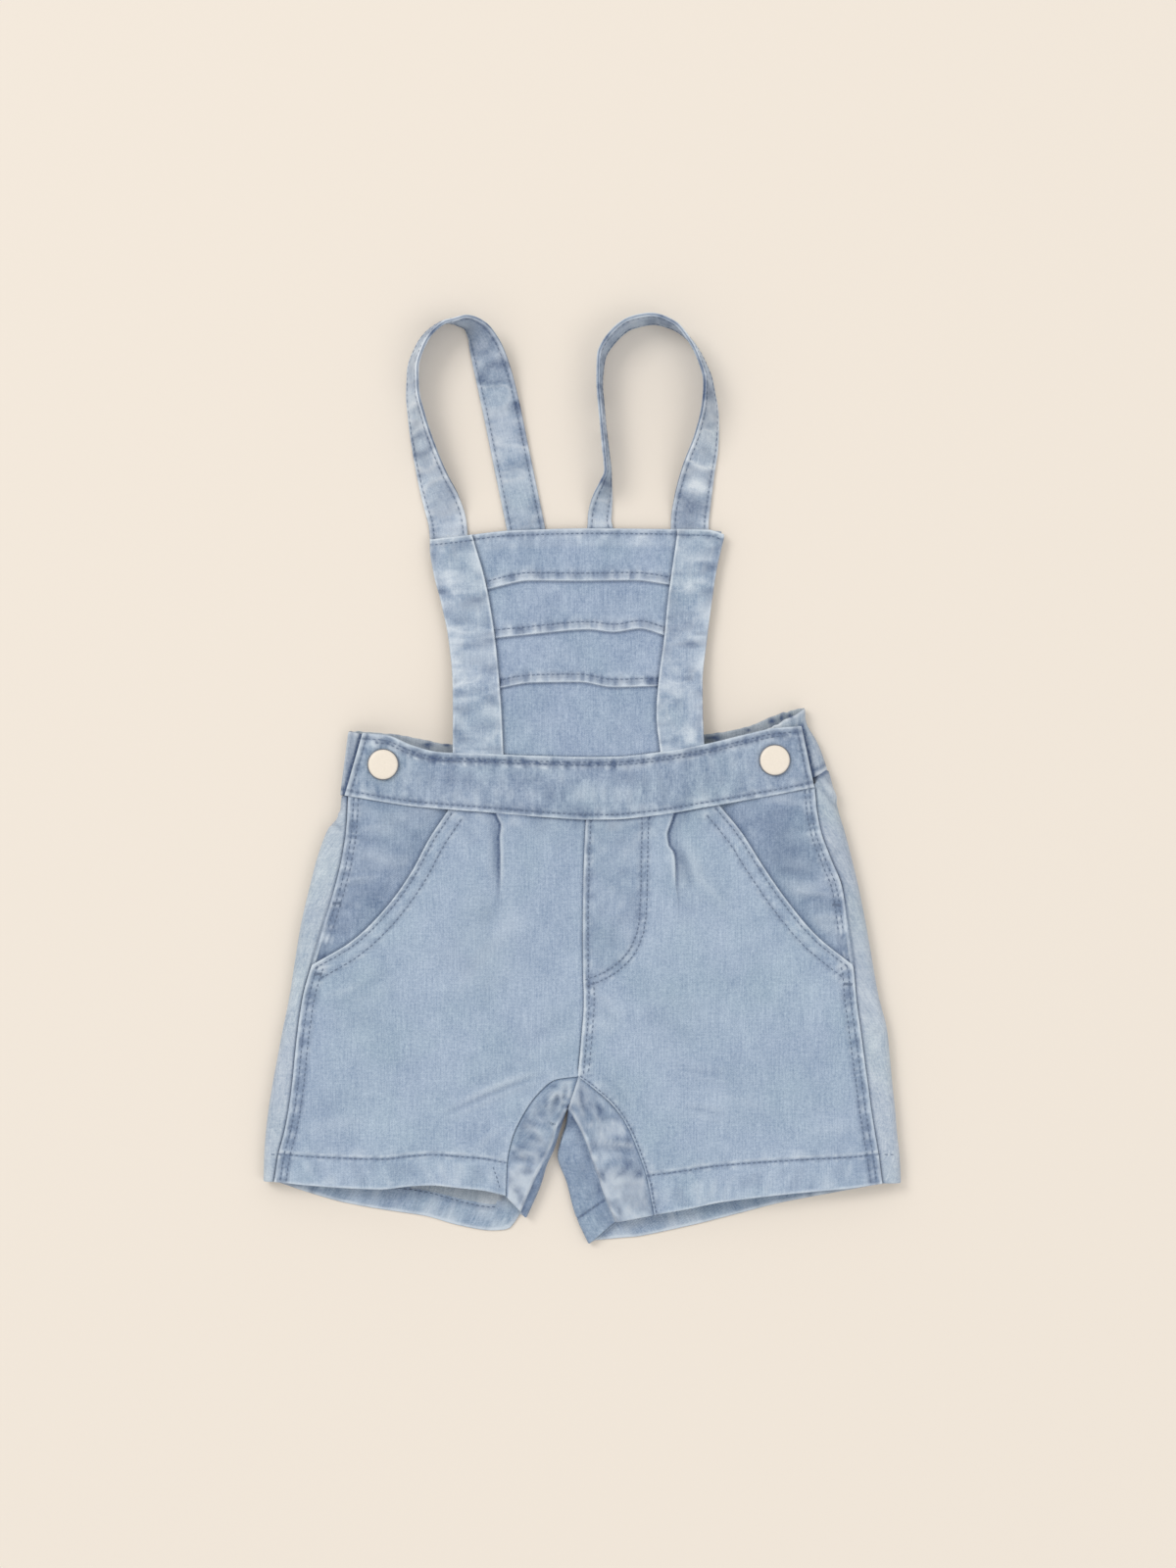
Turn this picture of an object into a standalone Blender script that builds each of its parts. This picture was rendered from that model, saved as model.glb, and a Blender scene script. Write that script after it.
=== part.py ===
"""Baby's short denim overalls, laid out flat on their back.

The garment lies on the XY plane with its bib and straps towards +Y and its front facing +Z.
Every piece that a maker cuts and sews is one closed wall.  The back panels lie on the
surface, roll up at the sides and between the legs, and come round to the seams on the
front.  The fronts, the pockets and the waistband lie over them, so that the waist and
both legs stay open.  The strap loops stand on their edges, as stiff denim does.
Sizes are in millimetres here, and become metres where a mesh is made.
"""

import math

import bmesh
import bpy
import numpy as np

MILLIMETRE = 0.001

# ---------------------------------------------------------------- driving sizes
CLOTH = 1.2              # one layer of washed denim
BAND = 2.4               # a band sewn double
BACK_BAND = 2.0          # the elasticated back waistband
STRAP = 2.0              # a strap sewn double
SEAM_GAP = 0.36          # between the edges of two pieces at a seam
LAYER_GAP = 0.35         # between a piece and what lies on it
LAYER = CLOTH + LAYER_GAP

FRONT_RISE = 9.0         # outer face of the fronts above the surface
WAIST_RISE = 1.1         # more at the two ends of the waistband
HALF_WAIST = 116.0
WAIST_LEVEL = 6.0        # the middle of the waistband in plan
WAIST_REACH = 60.0       # how far down the rise at the waist is felt
BIB_RISE = 3.8           # outer face of the bib panel at its top
BIB_FALL = (14.0, 76.0)  # the bib comes down to that between these places in plan
HEM_DEPTH = 0.5          # what the turned-up hem adds to the fronts
PLEAT_DEPTH = 1.5
PLEAT_STEP = 0.9         # width of the pleat's folded edge in plan
PLEAT_HELD = {"left": (42.6, 0.4), "right": (43.6, 4.0)}  # at the waist, and its slant below it
PLEAT_RELEASE = (1.6, 6.0)    # sections of a front between which the pleat comes loose
PLEAT_FADE = (1.0, 3.6)       # sections between which its fold flattens out
TUCK_DEPTH = 1.3
TUCK_FOLD = 4.2          # from a tuck's stitching to its folded edge
POCKET_UNDERLAP = 6.0    # the pocket facing goes this far under the front
ROLL_TOE = 3.8           # from the inner leg's roll to where it lies flat
ROLL_TURN = (2.4, 3.8, 5.2, 7.4)  # from a tight roll's lip to the places over it
LIP_RISE = 4.6           # height of the flat fold between the legs

BUTTON_RADIUS = 8.0
BUTTON_HEIGHT = 2.6
BUTTON_RIM = 1.2
BUTTON_SIDES = 24
SHARP = math.radians(40)  # a solid's edges are shaded sharp from here


# ---------------------------------------------------------------- tables
class Table:
    """Rows with named columns.  A column is read on a smooth curve through the rows."""

    def __init__(self, columns, *rows):
        values = np.array(rows, float)
        self.columns = {name: values[:, k] for k, name in enumerate(columns.split())}
        self.last = len(rows) - 1

    def read(self, name, place, by=None):
        """The column's value at a place: a row number, or a value of the column named by."""
        values = self.columns[name]
        places = np.arange(len(values), dtype=float) if by is None else self.columns[by]
        return monotone_curve(places, values, place)


def monotone_curve(places, values, at):
    """A cubic curve through the values that doesn't swing past them."""
    at = float(np.clip(at, places[0], places[-1]))
    steps = np.diff(places)
    slopes = np.diff(values) / steps
    tangents = np.empty(len(values))
    tangents[0], tangents[-1] = slopes[0], slopes[-1]
    for k in range(1, len(values) - 1):
        before, after = slopes[k - 1], slopes[k]
        tangents[k] = 2 * before * after / (before + after) if before * after > 0 else 0.0
    k = int(np.clip(np.searchsorted(places, at) - 1, 0, len(steps) - 1))
    t = (at - places[k]) / steps[k]
    from_start = (1 + 2 * t) * (1 - t) ** 2 * values[k] + t * (1 - t) ** 2 * steps[k] * tangents[k]
    from_end = t * t * (3 - 2 * t) * values[k + 1] - t * t * (1 - t) * steps[k] * tangents[k + 1]
    return float(from_start + from_end)


# The two sides of the shorts, a row for each section from the waistband to the hem:
# the rolled edge of the back panel, and the side seam that it comes round to.
SIDES = {
    "left": Table(
        "y fold seam",
        (-9.5, -122.9, -119.0),
        (-17.5, -123.9, -119.4),
        (-26.0, -130.0, -120.0),
        (-40.0, -135.3, -122.2),
        (-55.0, -139.2, -125.8),
        (-74.0, -143.6, -131.6),
        (-94.8, -147.0, -137.8),
        (-110.4, -149.4, -142.0),
        (-128.2, -153.0, -144.7),
        (-142.0, -155.6, -146.2),
        (-155.0, -158.0, -147.5),
        (-168.0, -160.1, -149.3),
        (-180.0, -161.5, -151.6),
        (-190.5, -162.3, -154.4),
        (-204.6, -162.7, -156.6),
    ),
    "right": Table(
        "y fold seam",
        (-5.5, 125.0, 117.4),
        (-15.0, 129.2, 118.3),
        (-27.0, 133.2, 120.6),
        (-40.0, 136.6, 125.4),
        (-55.0, 140.2, 131.2),
        (-74.0, 144.0, 134.2),
        (-94.8, 147.6, 137.1),
        (-110.4, 150.4, 138.4),
        (-128.2, 154.8, 140.8),
        (-142.0, 156.2, 142.6),
        (-155.0, 157.4, 144.4),
        (-168.0, 158.8, 146.1),
        (-180.0, 159.8, 148.0),
        (-190.5, 161.0, 149.8),
        (-205.4, 161.8, 151.7),
    ),
}
SHOULDERS = {"left": 0.6, "right": 9.2}  # how much higher the roll starts than the side seam
SIDE_ROWS = 14
CROTCH_ROW = 8           # the section that passes through the crotch
POCKET_ROW = 6           # the section where the pocket's edge meets the side seam

# The outer edge of each front down its pocket, from the waistband to the side seam.
POCKETS = {
    "left": Table(
        "x y",
        (-68.7, -16.0),
        (-78.0, -30.0),
        (-87.7, -48.0),
        (-100.6, -65.8),
        (-117.2, -82.0),
        (-138.5, -94.8),
    ),
    "right": Table(
        "x y",
        (69.4, -13.4),
        (80.5, -27.0),
        (91.0, -43.5),
        (103.4, -61.4),
        (118.4, -79.2),
        (137.5, -94.8),
    ),
}

# The inner edge of each front: the centre seam, then the inseam from the point where the
# four panels meet.
CENTRE_SEAM = Table(
    "x y",
    (1.6, -20.9),
    (0.9, -35.0),
    (0.3, -55.0),
    (0.1, -75.0),
    (0.2, -95.0),
    (0.6, -113.0),
    (-0.6, -131.0),
    (-2.4, -151.0),
)
INSEAMS = {
    "left": Table(
        "x y",
        (-2.4, -151.0),
        (-14.0, -152.6),
        (-23.0, -159.5),
        (-30.8, -170.5),
        (-36.5, -183.0),
        (-38.9, -195.0),
        (-39.6, -211.6),
    ),
    "right": Table(
        "x y",
        (-2.4, -151.0),
        (6.5, -157.8),
        (15.2, -165.6),
        (22.5, -176.0),
        (28.0, -188.6),
        (32.4, -201.5),
        (36.5, -221.5),
    ),
}
FRONT_POCKET_ROW = 5
FRONT_CROTCH_ROW = 7
FRONT_HEM_ROW = 12

# The inner leg, a row for each section from the crotch to the hem: the folded edge of the
# front, and the lip of the back panel that lies beyond it on the surface.
INNER_LEGS = {
    "left": Table(
        "fold_x fold_y lip_x lip_y",
        (-7.6, -166.4, -7.6, -167.0),
        (-10.8, -172.2, -10.0, -173.6),
        (-13.6, -177.5, -12.5, -181.5),
        (-15.2, -184.0, -14.9, -189.0),
        (-19.6, -193.4, -18.4, -196.5),
        (-24.9, -203.6, -21.4, -206.5),
        (-31.5, -219.0, -28.8, -223.4),
    ),
    "right": Table(
        "fold_x fold_y lip_x lip_y",
        (-7.6, -166.4, -7.6, -167.0),
        (-4.2, -172.6, -8.6, -174.8),
        (0.2, -181.0, -11.0, -182.9),
        (3.8, -191.0, -13.0, -192.4),
        (7.6, -202.0, -8.4, -205.6),
        (11.6, -213.4, -4.2, -221.4),
        (16.5, -225.4, 2.7, -236.8),
    ),
}

# The centre back seam on the surface, from the back waistband to the crotch.
BACK_SEAM = Table(
    "x y",
    (1.0, -13.2),
    (1.0, -32.0),
    (0.8, -51.0),
    (0.6, -70.0),
    (0.4, -89.0),
    (0.0, -108.0),
    (-1.2, -128.0),
    (-4.0, -148.0),
    (-6.8, -164.0),
)

# How far each hem bows below a straight line from its outer to its inner end.
FRONT_HEMS = {
    "left": Table("share drop", (0, 0), (0.15, 0.8), (0.3, 1.0), (0.45, 0.6), (0.6, -2.2),
                  (0.7, -3.2), (0.8, -2.6), (0.9, -2.0), (1, 0)),
    "right": Table("share drop", (0, 0), (0.1, 0.3), (0.3, -0.7), (0.5, -1.6), (0.7, -1.9),
                   (0.85, -0.7), (1, 0)),
}
BACK_HEMS = {
    "left": Table("share drop", (0, 0), (0.15, 3.8), (0.3, 6.4), (0.45, 7.2), (0.6, 7.4),
                  (0.75, 9.9), (0.85, 10.6), (0.95, 8.6), (1, 0.4)),
    "right": Table("share drop", (0, 0), (0.2, -0.4), (0.36, -0.6), (0.52, 0.7), (0.68, 2.0),
                   (0.84, 2.4), (0.92, 1.2), (1, 0)),
}

# The front waistband's two long edges, a row for each section from left to right.
WAISTBAND = Table(
    "x_low low x_high high",
    (-121.0, -8.3, -111.9, 23.4),
    (-105.5, -11.0, -100.0, 22.4),
    (-88.8, -13.6, -86.0, 17.0),
    (-72.0, -15.2, -72.0, 13.7),
    (-49.8, -16.9, -50.0, 13.0),
    (-27.5, -18.8, -27.5, 12.0),
    (2.5, -20.7, 2.5, 11.3),
    (15.5, -20.6, 15.5, 11.4),
    (38.4, -18.4, 38.4, 13.7),
    (61.4, -14.5, 61.4, 17.7),
    (84.4, -10.5, 82.0, 22.6),
    (107.3, -6.2, 98.0, 26.0),
    (117.4, -4.2, 110.8, 26.9),
)

# The back waistband, a row for each section from its left end on the front, round the
# left roll, over the surface and round the right roll to its right end on the front.
# level is 0 on the surface and 1 under the front waistband.
BACK_WAISTBAND = Table(
    "x_low low x_high high level",
    (-88.0, -8.4, -86.0, 14.0, 1.0),
    (-102.0, -7.8, -98.0, 19.6, 1.0),
    (-119.4, -8.2, -115.6, 23.6, 1.0),
    (-122.5, -8.2, -118.6, 24.2, 0.854),
    (-123.7, -8.3, -119.8, 24.4, 0.5),
    (-122.5, -8.4, -118.6, 24.4, 0.146),
    (-119.4, -8.6, -115.6, 24.4, 0.0),
    (-100.0, -9.4, -96.0, 22.8, 0.0),
    (-62.0, -11.0, -62.0, 17.4, 0.0),
    (-30.0, -12.0, -30.0, 19.0, 0.0),
    (0.0, -12.0, 0.0, 20.6, 0.0),
    (30.0, -11.0, 30.0, 21.2, 0.0),
    (60.0, -8.0, 60.0, 22.6, 0.0),
    (86.0, -4.6, 82.0, 26.2, 0.0),
    (104.0, -2.0, 96.0, 31.6, 0.0),
    (119.6, 1.2, 109.0, 35.6, 0.0),
    (123.0, 3.4, 112.4, 36.2, 0.146),
    (124.4, 4.6, 114.0, 36.2, 0.5),
    (123.0, 3.6, 112.6, 35.4, 0.854),
    (119.4, 1.6, 109.0, 33.2, 1.0),
    (104.0, -3.0, 99.0, 28.6, 1.0),
    (86.0, -7.6, 84.0, 19.8, 1.0),
)
GATHERS = 60             # waves of the elastic from one end of the band to the other
GATHER_DEPTH = 0.7
RUFFLE = 0.7             # how far the band's top edge waves
PINCH = 2.4              # how far the right end's roll is drawn in below its top corner

# The bib, a row for each section from its top edge to the waistband.
BIB = Table(
    "y left left_band right_band right",
    (124.0, -77.6, -56.4, 47.8, 71.4),
    (118.5, -77.6, -54.8, 47.0, 70.2),
    (105.0, -75.8, -50.8, 45.0, 67.4),
    (90.0, -72.0, -47.6, 43.0, 65.2),
    (71.5, -68.2, -44.8, 41.2, 62.8),
    (48.5, -66.0, -42.5, 38.2, 60.4),
    (33.0, -65.8, -41.4, 37.2, 60.5),
    (12.0, -65.8, -40.4, 39.4, 61.2),
)
BIB_TOP = Table("x y", (-77.0, 122.0), (-58.0, 124.3), (-37.0, 126.6), (2.7, 127.7),
                (45.5, 127.3), (64.0, 126.9), (71.6, 124.6))
# The folded edge of each tuck across the bib, at five shares of its width.
TUCKS = (
    Table("share y", (0, 96.4), (0.25, 100.9), (0.5, 100.7), (0.8, 101.0), (1, 98.8)),
    Table("share y", (0, 71.6), (0.25, 73.8), (0.55, 76.0), (0.7, 74.7), (0.85, 76.4), (1, 73.0)),
    Table("share y", (0, 46.2), (0.2, 48.8), (0.5, 49.2), (0.72, 46.6), (1, 47.2)),
)

# Each strap's middle line from under the bib's top edge, round its loop and down to the
# back waistband.  roll is 0 with the strap's outside up, 90 on edge and 180 outside down.
STRAPS = {
    "left": Table(
        "x y roll width",
        (-67.8, 113.0, 0, 19.5),
        (-69.0, 129.5, 0, 19.5),
        (-71.8, 140.0, 15, 19.5),
        (-75.9, 151.0, 36, 19.5),
        (-80.4, 166.0, 52, 19.5),
        (-84.4, 183.0, 64, 19.5),
        (-86.6, 198.0, 72, 19.5),
        (-86.4, 208.0, 74, 19.5),
        (-83.0, 219.0, 76, 19.5),
        (-77.0, 227.6, 79, 19.5),
        (-68.6, 232.4, 84, 19.5),
        (-60.4, 232.0, 101, 19.5),
        (-53.8, 227.4, 124, 19.5),
        (-49.6, 219.0, 146, 19.5),
        (-45.9, 207.0, 162, 19.5),
        (-41.9, 190.0, 174, 19.5),
        (-36.8, 165.0, 178, 19.5),
        (-29.6, 130.0, 180, 19.5),
        (-21.6, 90.0, 180, 19.5),
        (-15.4, 50.0, 180, 19.5),
        (-13.6, 22.2, 180, 19.5),
    ),
    "right": Table(
        "x y roll width",
        (54.6, 114.0, 0, 19.5),
        (54.4, 129.5, 0, 19.5),
        (55.8, 142.0, 13, 19.5),
        (58.5, 156.0, 30, 19.5),
        (62.6, 172.5, 50, 19.5),
        (64.4, 188.5, 66, 19.5),
        (63.6, 201.5, 77, 19.5),
        (59.6, 213.6, 81, 19.5),
        (53.4, 223.8, 85, 19.5),
        (45.4, 230.6, 93, 19.5),
        (35.0, 233.6, 97, 19.5),
        (24.6, 231.6, 99, 19.5),
        (15.0, 224.4, 100, 19.5),
        (9.2, 214.0, 98, 19.5),
        (8.4, 202.0, 95, 19.5),
        (9.6, 186.0, 95, 19.5),
        (11.4, 168.0, 96, 19.5),
        (12.6, 156.0, 98, 18.0),
        (11.6, 150.0, 110, 15.4),
        (10.2, 144.0, 134, 13.2),
        (9.0, 138.0, 160, 12.2),
        (8.4, 132.0, 180, 12.2),
        (9.4, 118.0, 180, 17.0),
        (11.0, 90.0, 180, 19.5),
        (13.0, 50.0, 180, 19.5),
        (14.4, 22.6, 180, 19.5),
    ),
}
STRAP_STATIONS = 48
STRAP_TWIST = 0.35       # how much closer the sections come where a strap turns over
STRAP_CHAMFER = 0.55

BUTTONS = {"left": (-101.4, 7.4), "right": (97.2, 9.6)}


# Where the fronts swell, or sink, above the surface: centre, spread, and height.
SWELLS = (
    ((-80, -110), (42, 55), -0.9),
    ((78, -115), (42, 55), -0.9),
    ((-74, -208), (34, 26), 1.9),
    ((92, -212), (36, 26), 1.0),
)


# ---------------------------------------------------------------- heights
def bump(x, y, centre, spread):
    """A soft rise of 1 at the centre that dies away over its spread."""
    return math.exp(-(((x - centre[0]) / spread[0]) ** 2) - ((y - centre[1]) / spread[1]) ** 2)


def front_height(x, y):
    """Height of the front's outer face above the surface, without seams and pleats."""
    from_waist = (y - WAIST_LEVEL) / WAIST_REACH
    ends = WAIST_RISE * (x / HALF_WAIST) ** 2 * math.exp(-(from_waist ** 2))
    swell = sum(height * bump(x, y, centre, spread) for centre, spread, height in SWELLS)
    return FRONT_RISE + ends + swell


def bib_height(x, y):
    """Height of the bib panel's outer face: it comes down from the waistband to its top."""
    at_waist = front_height(x, 12) - LAYER_GAP
    return at_waist + (BIB_RISE - at_waist) * ease(y, *BIB_FALL)


def ease(value, start, stop):
    """0 before start, 1 after stop, and smooth between them."""
    share = float(np.clip((value - start) / (stop - start), 0, 1))
    return share * share * (3 - 2 * share)


# ---------------------------------------------------------------- walls
class Sheet:
    """A grid of points on a piece's outer face, with what is raised at each point."""

    def __init__(self, rows):
        self.points = [[np.array(p[:3], float) for p in row] for row in rows]
        self.raised = [[p[3] if len(p) > 3 else 0.0 for p in row] for row in rows]
        self.level = [[p[4] if len(p) > 4 else 0.0 for p in row] for row in rows]


def wall(name, sheets, thickness, material, facing=1.0):
    """A closed wall under one or more sheets that share edge points.

    A point's level is 1 or -1 where its wall goes straight down or up, 0 where it goes
    square to the surface, or between them.  facing is the sign of z that the first sheet
    faces.
    """
    index, places, raised, levels, faces = {}, [], [], [], []
    for sheet in sheets:
        numbers = []
        for row, lifts, sides in zip(sheet.points, sheet.raised, sheet.level):
            line = []
            for point, lift, side in zip(row, lifts, sides):
                key = tuple(np.round(point, 3))
                if key not in index:
                    index[key] = len(places)
                    places.append(point)
                    raised.append(lift)
                    levels.append(side)
                line.append(index[key])
            numbers.append(line)
        for upper, lower in zip(numbers, numbers[1:]):
            for k in range(len(upper) - 1):
                corners = [upper[k], upper[k + 1], lower[k + 1], lower[k]]
                corners = [c for n, c in enumerate(corners) if c != corners[n - 1]]
                if len(set(corners)) >= 3:
                    faces.append(corners)
    places = np.array(places)
    normals = vertex_normals(places, faces)
    if normals[faces[0][0]][2] * facing < 0:
        faces = [face[::-1] for face in faces]
        normals = -normals
    for k, level in enumerate(levels):
        blend = normals[k] * (1 - abs(level)) + np.array([0, 0, level])
        normals[k] = blend / np.linalg.norm(blend)
    outer = places + normals * np.array(raised)[:, None]
    inner = places - normals * thickness
    count = len(places)
    used = {}
    for face in faces:
        for a, b in zip(face, face[1:] + face[:1]):
            used[(a, b)] = used.get((a, b), 0) + 1
    rims = [(b, a, a + count, b + count) for a, b in used if (b, a) not in used]
    inside = [tuple(c + count for c in reversed(face)) for face in faces]
    return solid(name, np.vstack([outer, inner]), faces + inside + rims, material)


def vertex_normals(places, faces):
    """Unit normals at the points, from the areas of the faces round them."""
    normals = np.zeros_like(places)
    for face in faces:
        ring = places[face]
        middle = ring.mean(axis=0)
        area = sum(np.cross(a - middle, b - middle) for a, b in zip(ring, np.roll(ring, -1, 0)))
        for corner in face:
            normals[corner] += area
    return normals / np.maximum(np.linalg.norm(normals, axis=1), 1e-12)[:, None]


def solid(name, places, faces, material):
    """A mesh object in metres."""
    mesh = bpy.data.meshes.new(name)
    mesh.from_pydata([tuple(p * MILLIMETRE) for p in places], [], [tuple(f) for f in faces])
    mesh.materials.append(material)
    mesh.validate()
    mesh.shade_smooth()
    mesh.set_sharp_from_angle(angle=SHARP)
    made = bpy.data.objects.new(name, mesh)
    bpy.context.scene.collection.objects.link(made)
    return made


def shifted(points, gap):
    """Points of a plan line moved to its left by gap, with the same number of points."""
    moved = []
    for k, point in enumerate(points):
        before, after = points[max(k - 1, 0)], points[min(k + 1, len(points) - 1)]
        along = np.subtract(after, before)
        along = along / max(np.linalg.norm(along), 1e-9)
        moved.append((point[0] - along[1] * gap, point[1] + along[0] * gap))
    return moved


def between(a, b, share):
    return tuple(np.array(a, float) * (1 - share) + np.array(b, float) * share)


# ---------------------------------------------------------------- shared seam lines
def side_seam(side, row):
    table = SIDES[side]
    return (table.read("seam", row), table.read("y", row))


def inner_seam(side, row):
    """The front's inner edge at one of its rows: the centre seam, then the inseam."""
    below = row - FRONT_CROTCH_ROW
    table = CENTRE_SEAM if below <= 0 else INSEAMS[side]
    place = row if below <= 0 else below
    return (table.read("x", place), table.read("y", place))


def pocket_edge(side, row):
    """The front's outer edge at one of its rows: the pocket's edge, then the side seam."""
    below = row - FRONT_POCKET_ROW
    if below >= 0:
        return side_seam(side, below + POCKET_ROW)
    return (POCKETS[side].read("x", row), POCKETS[side].read("y", row))


def waist_seam(x):
    """The height in plan of the front waistband's lower edge at x."""
    return WAISTBAND.read("low", x, by="x_low")


def waist_top(x):
    return WAISTBAND.read("high", x, by="x_high")


# ---------------------------------------------------------------- fronts
def pleat_line(side, row):
    """The plan x of the pleat, which fades out down the front."""
    sign = -1 if side == "left" else 1
    start, slant = PLEAT_HELD[side]
    outer, inner = pocket_edge(side, row)[0], inner_seam(side, row)[0]
    loose = outer + 0.5 * (inner - outer)
    held = sign * (start + slant * min(row / 2.0, 1))
    return held + (loose - held) * ease(row, *PLEAT_RELEASE)


def front(side, material):
    """A front panel with its pleat, from the waistband to the hem."""
    outer_share = (0.0, 0.04, 0.15, 0.34, 0.56, 0.78, 1.0)
    inner_share = (0.0, 0.12, 0.3, 0.5, 0.7, 0.86, 1.0)
    rows = [0, 0.5, 1, 1.5, 2, 2.5, 3, 3.6, 4.2, 5, 6, *np.arange(7, 12.01, 0.5), 12.12, 12.6, 13]
    sign = -1 if side == "left" else 1
    outer_line = [pocket_edge(side, r) for r in rows]
    inner_line = [inner_seam(side, r) for r in rows]
    outer_line = shifted(outer_line, sign * -SEAM_GAP / 2)
    inner_line = shifted(inner_line, sign * SEAM_GAP / 2)
    hem = FRONT_HEMS[side]
    grid = []
    for row, outer, inner in zip(rows, outer_line, inner_line):
        pleat = PLEAT_DEPTH * (1 - ease(row, *PLEAT_FADE))
        share = (pleat_line(side, row) - outer[0]) / (inner[0] - outer[0])
        fold = PLEAT_STEP / abs(inner[0] - outer[0])
        shares = [s * (share - fold) for s in outer_share]
        shares += [share + fold * 0.2 + s * (1 - share - fold * 0.2) for s in inner_share]
        lifts = [0.0] * len(outer_share)
        lifts += [pleat * max(1 - s / 0.5, 0) for s in inner_share]
        waist = 1 - ease(row, 0, 2)
        line = []
        for part, lift in zip(shares, lifts):
            x, y = between(outer, inner, part)
            y += waist * (waist_seam(x) - between(
                (0, waist_seam(outer[0])), (0, waist_seam(inner[0])), part)[1])
            if row == 0:
                y = waist_seam(x) - SEAM_GAP
            y -= ease(row, 8, 13) * hem.read("drop", part, by="share")
            turned = HEM_DEPTH if row > FRONT_HEM_ROW + 0.1 else 0.0
            line.append((x, y, front_height(x, y), lift + turned, 1))
        grid.append(line)
    return wall(f"front_{side}", [Sheet(grid)], CLOTH, material)


def pocket_facing(side, material):
    """The denim under the slanted pocket, from the side seam to just under the front."""
    shares = (0.0, 0.2, 0.45, 0.7, 0.9, 1.0)
    rows = [0, 0.5, 1, 1.5, 2, 3, 4, 5, 5.5, 6]
    sign = -1 if side == "left" else 1
    seam = shifted([side_seam(side, r) for r in rows], sign * -SEAM_GAP / 2)
    edge = [pocket_edge(side, r * FRONT_POCKET_ROW / POCKET_ROW) for r in rows]
    under = shifted(edge, sign * -POCKET_UNDERLAP)
    grid = []
    for row, outer, inner in zip(rows, seam, under):
        line = []
        for share in shares:
            x, y = between(outer, inner, share)
            if row == 0:
                y = waist_seam(x) - SEAM_GAP
            clear = (1 - share) * math.dist(outer, inner) - POCKET_UNDERLAP
            flush = ease(clear, 2.5, 12.0) * (1 - ease(row, 4.0, 5.5))
            line.append((x, y, front_height(x, y) - LAYER * (1 - flush), 0, 1))
        grid.append(line)
    return wall(f"pocket_facing_{side}", [Sheet(grid)], CLOTH, material)


# ---------------------------------------------------------------- backs
def leg_section(side, row):
    """Points of the inner leg at a section, from the surface up over its roll to the inseam."""
    legs = INNER_LEGS[side]
    step = row - CROTCH_ROW
    sign = -1 if side == "left" else 1
    inseam = np.array(inner_seam(side, row - CROTCH_ROW + FRONT_CROTCH_ROW))
    fold = np.array([legs.read("fold_x", step), legs.read("fold_y", step)])
    lip = np.array([legs.read("lip_x", step), legs.read("lip_y", step)])
    out = (fold - inseam) / np.linalg.norm(fold - inseam)
    ahead, behind = min(step + 0.25, legs.last), max(step - 0.25, 0)
    run = [legs.read(axis, ahead) - legs.read(axis, behind) for axis in ("lip_x", "lip_y")]
    lip_out = np.array([sign * run[1], -sign * run[0]]) / np.linalg.norm(run)
    lip_out = out + (lip_out - out) * ease(step, 0.0, 1.0)
    lip_out /= np.linalg.norm(lip_out)
    spread = ease(np.linalg.norm(lip - fold), 1.5, 8.0)
    top = front_height(*fold)
    lip_top = top + (LIP_RISE - top) * spread
    turned = [lip_out + (out - lip_out) * k for k in (0.2, 0.6, 0.85, 1.0)]
    turned = [direction / np.linalg.norm(direction) for direction in turned]
    # A row: its place where the fold is tight, and where it is wide, its height and level.
    outline = (
        (lip - lip_out * ROLL_TOE, lip - lip_out * ROLL_TOE, 0.0, -1),
        (lip - lip_out * 1.0, lip - lip_out * 1.0, 0.14 * lip_top, 0),
        (lip, lip, 0.5 * lip_top, 0),
        (lip - lip_out * 0.9, lip - lip_out * 0.7, 0.86 * lip_top, 0.3 * (1 - spread)),
        (lip - turned[0] * ROLL_TURN[0], between(lip, fold, 0.5), lip_top * 0.98,
         0.8 * (1 - spread)),
        (lip - turned[1] * ROLL_TURN[1], fold + out * 0.3, top + (LIP_RISE + 0.6 - top) * spread,
         1 - spread),
        (lip - turned[2] * ROLL_TURN[2], fold - out * 0.4, top - 1.4 * spread, 1 - spread),
        (lip - turned[3] * ROLL_TURN[3], fold - out * 2.6, top, 1),
    )
    points = []
    for tight, wide, z, level in outline:
        place = np.array(tight) * (1 - spread) + np.array(wide) * spread
        points.append((place[0], place[1], z, 0, level))
    last = np.array(points[-1][:2])
    clear = SEAM_GAP if row == CROTCH_ROW else SEAM_GAP / 2
    for share in (0.5, 1.0):
        place = last + (inseam + out * clear - last) * share
        points.append((place[0], place[1], front_height(*place), 0, 1))
    shift = sign * SEAM_GAP if row == CROTCH_ROW else 0
    return [(p[0] + shift, *p[1:]) for p in points]


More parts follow.
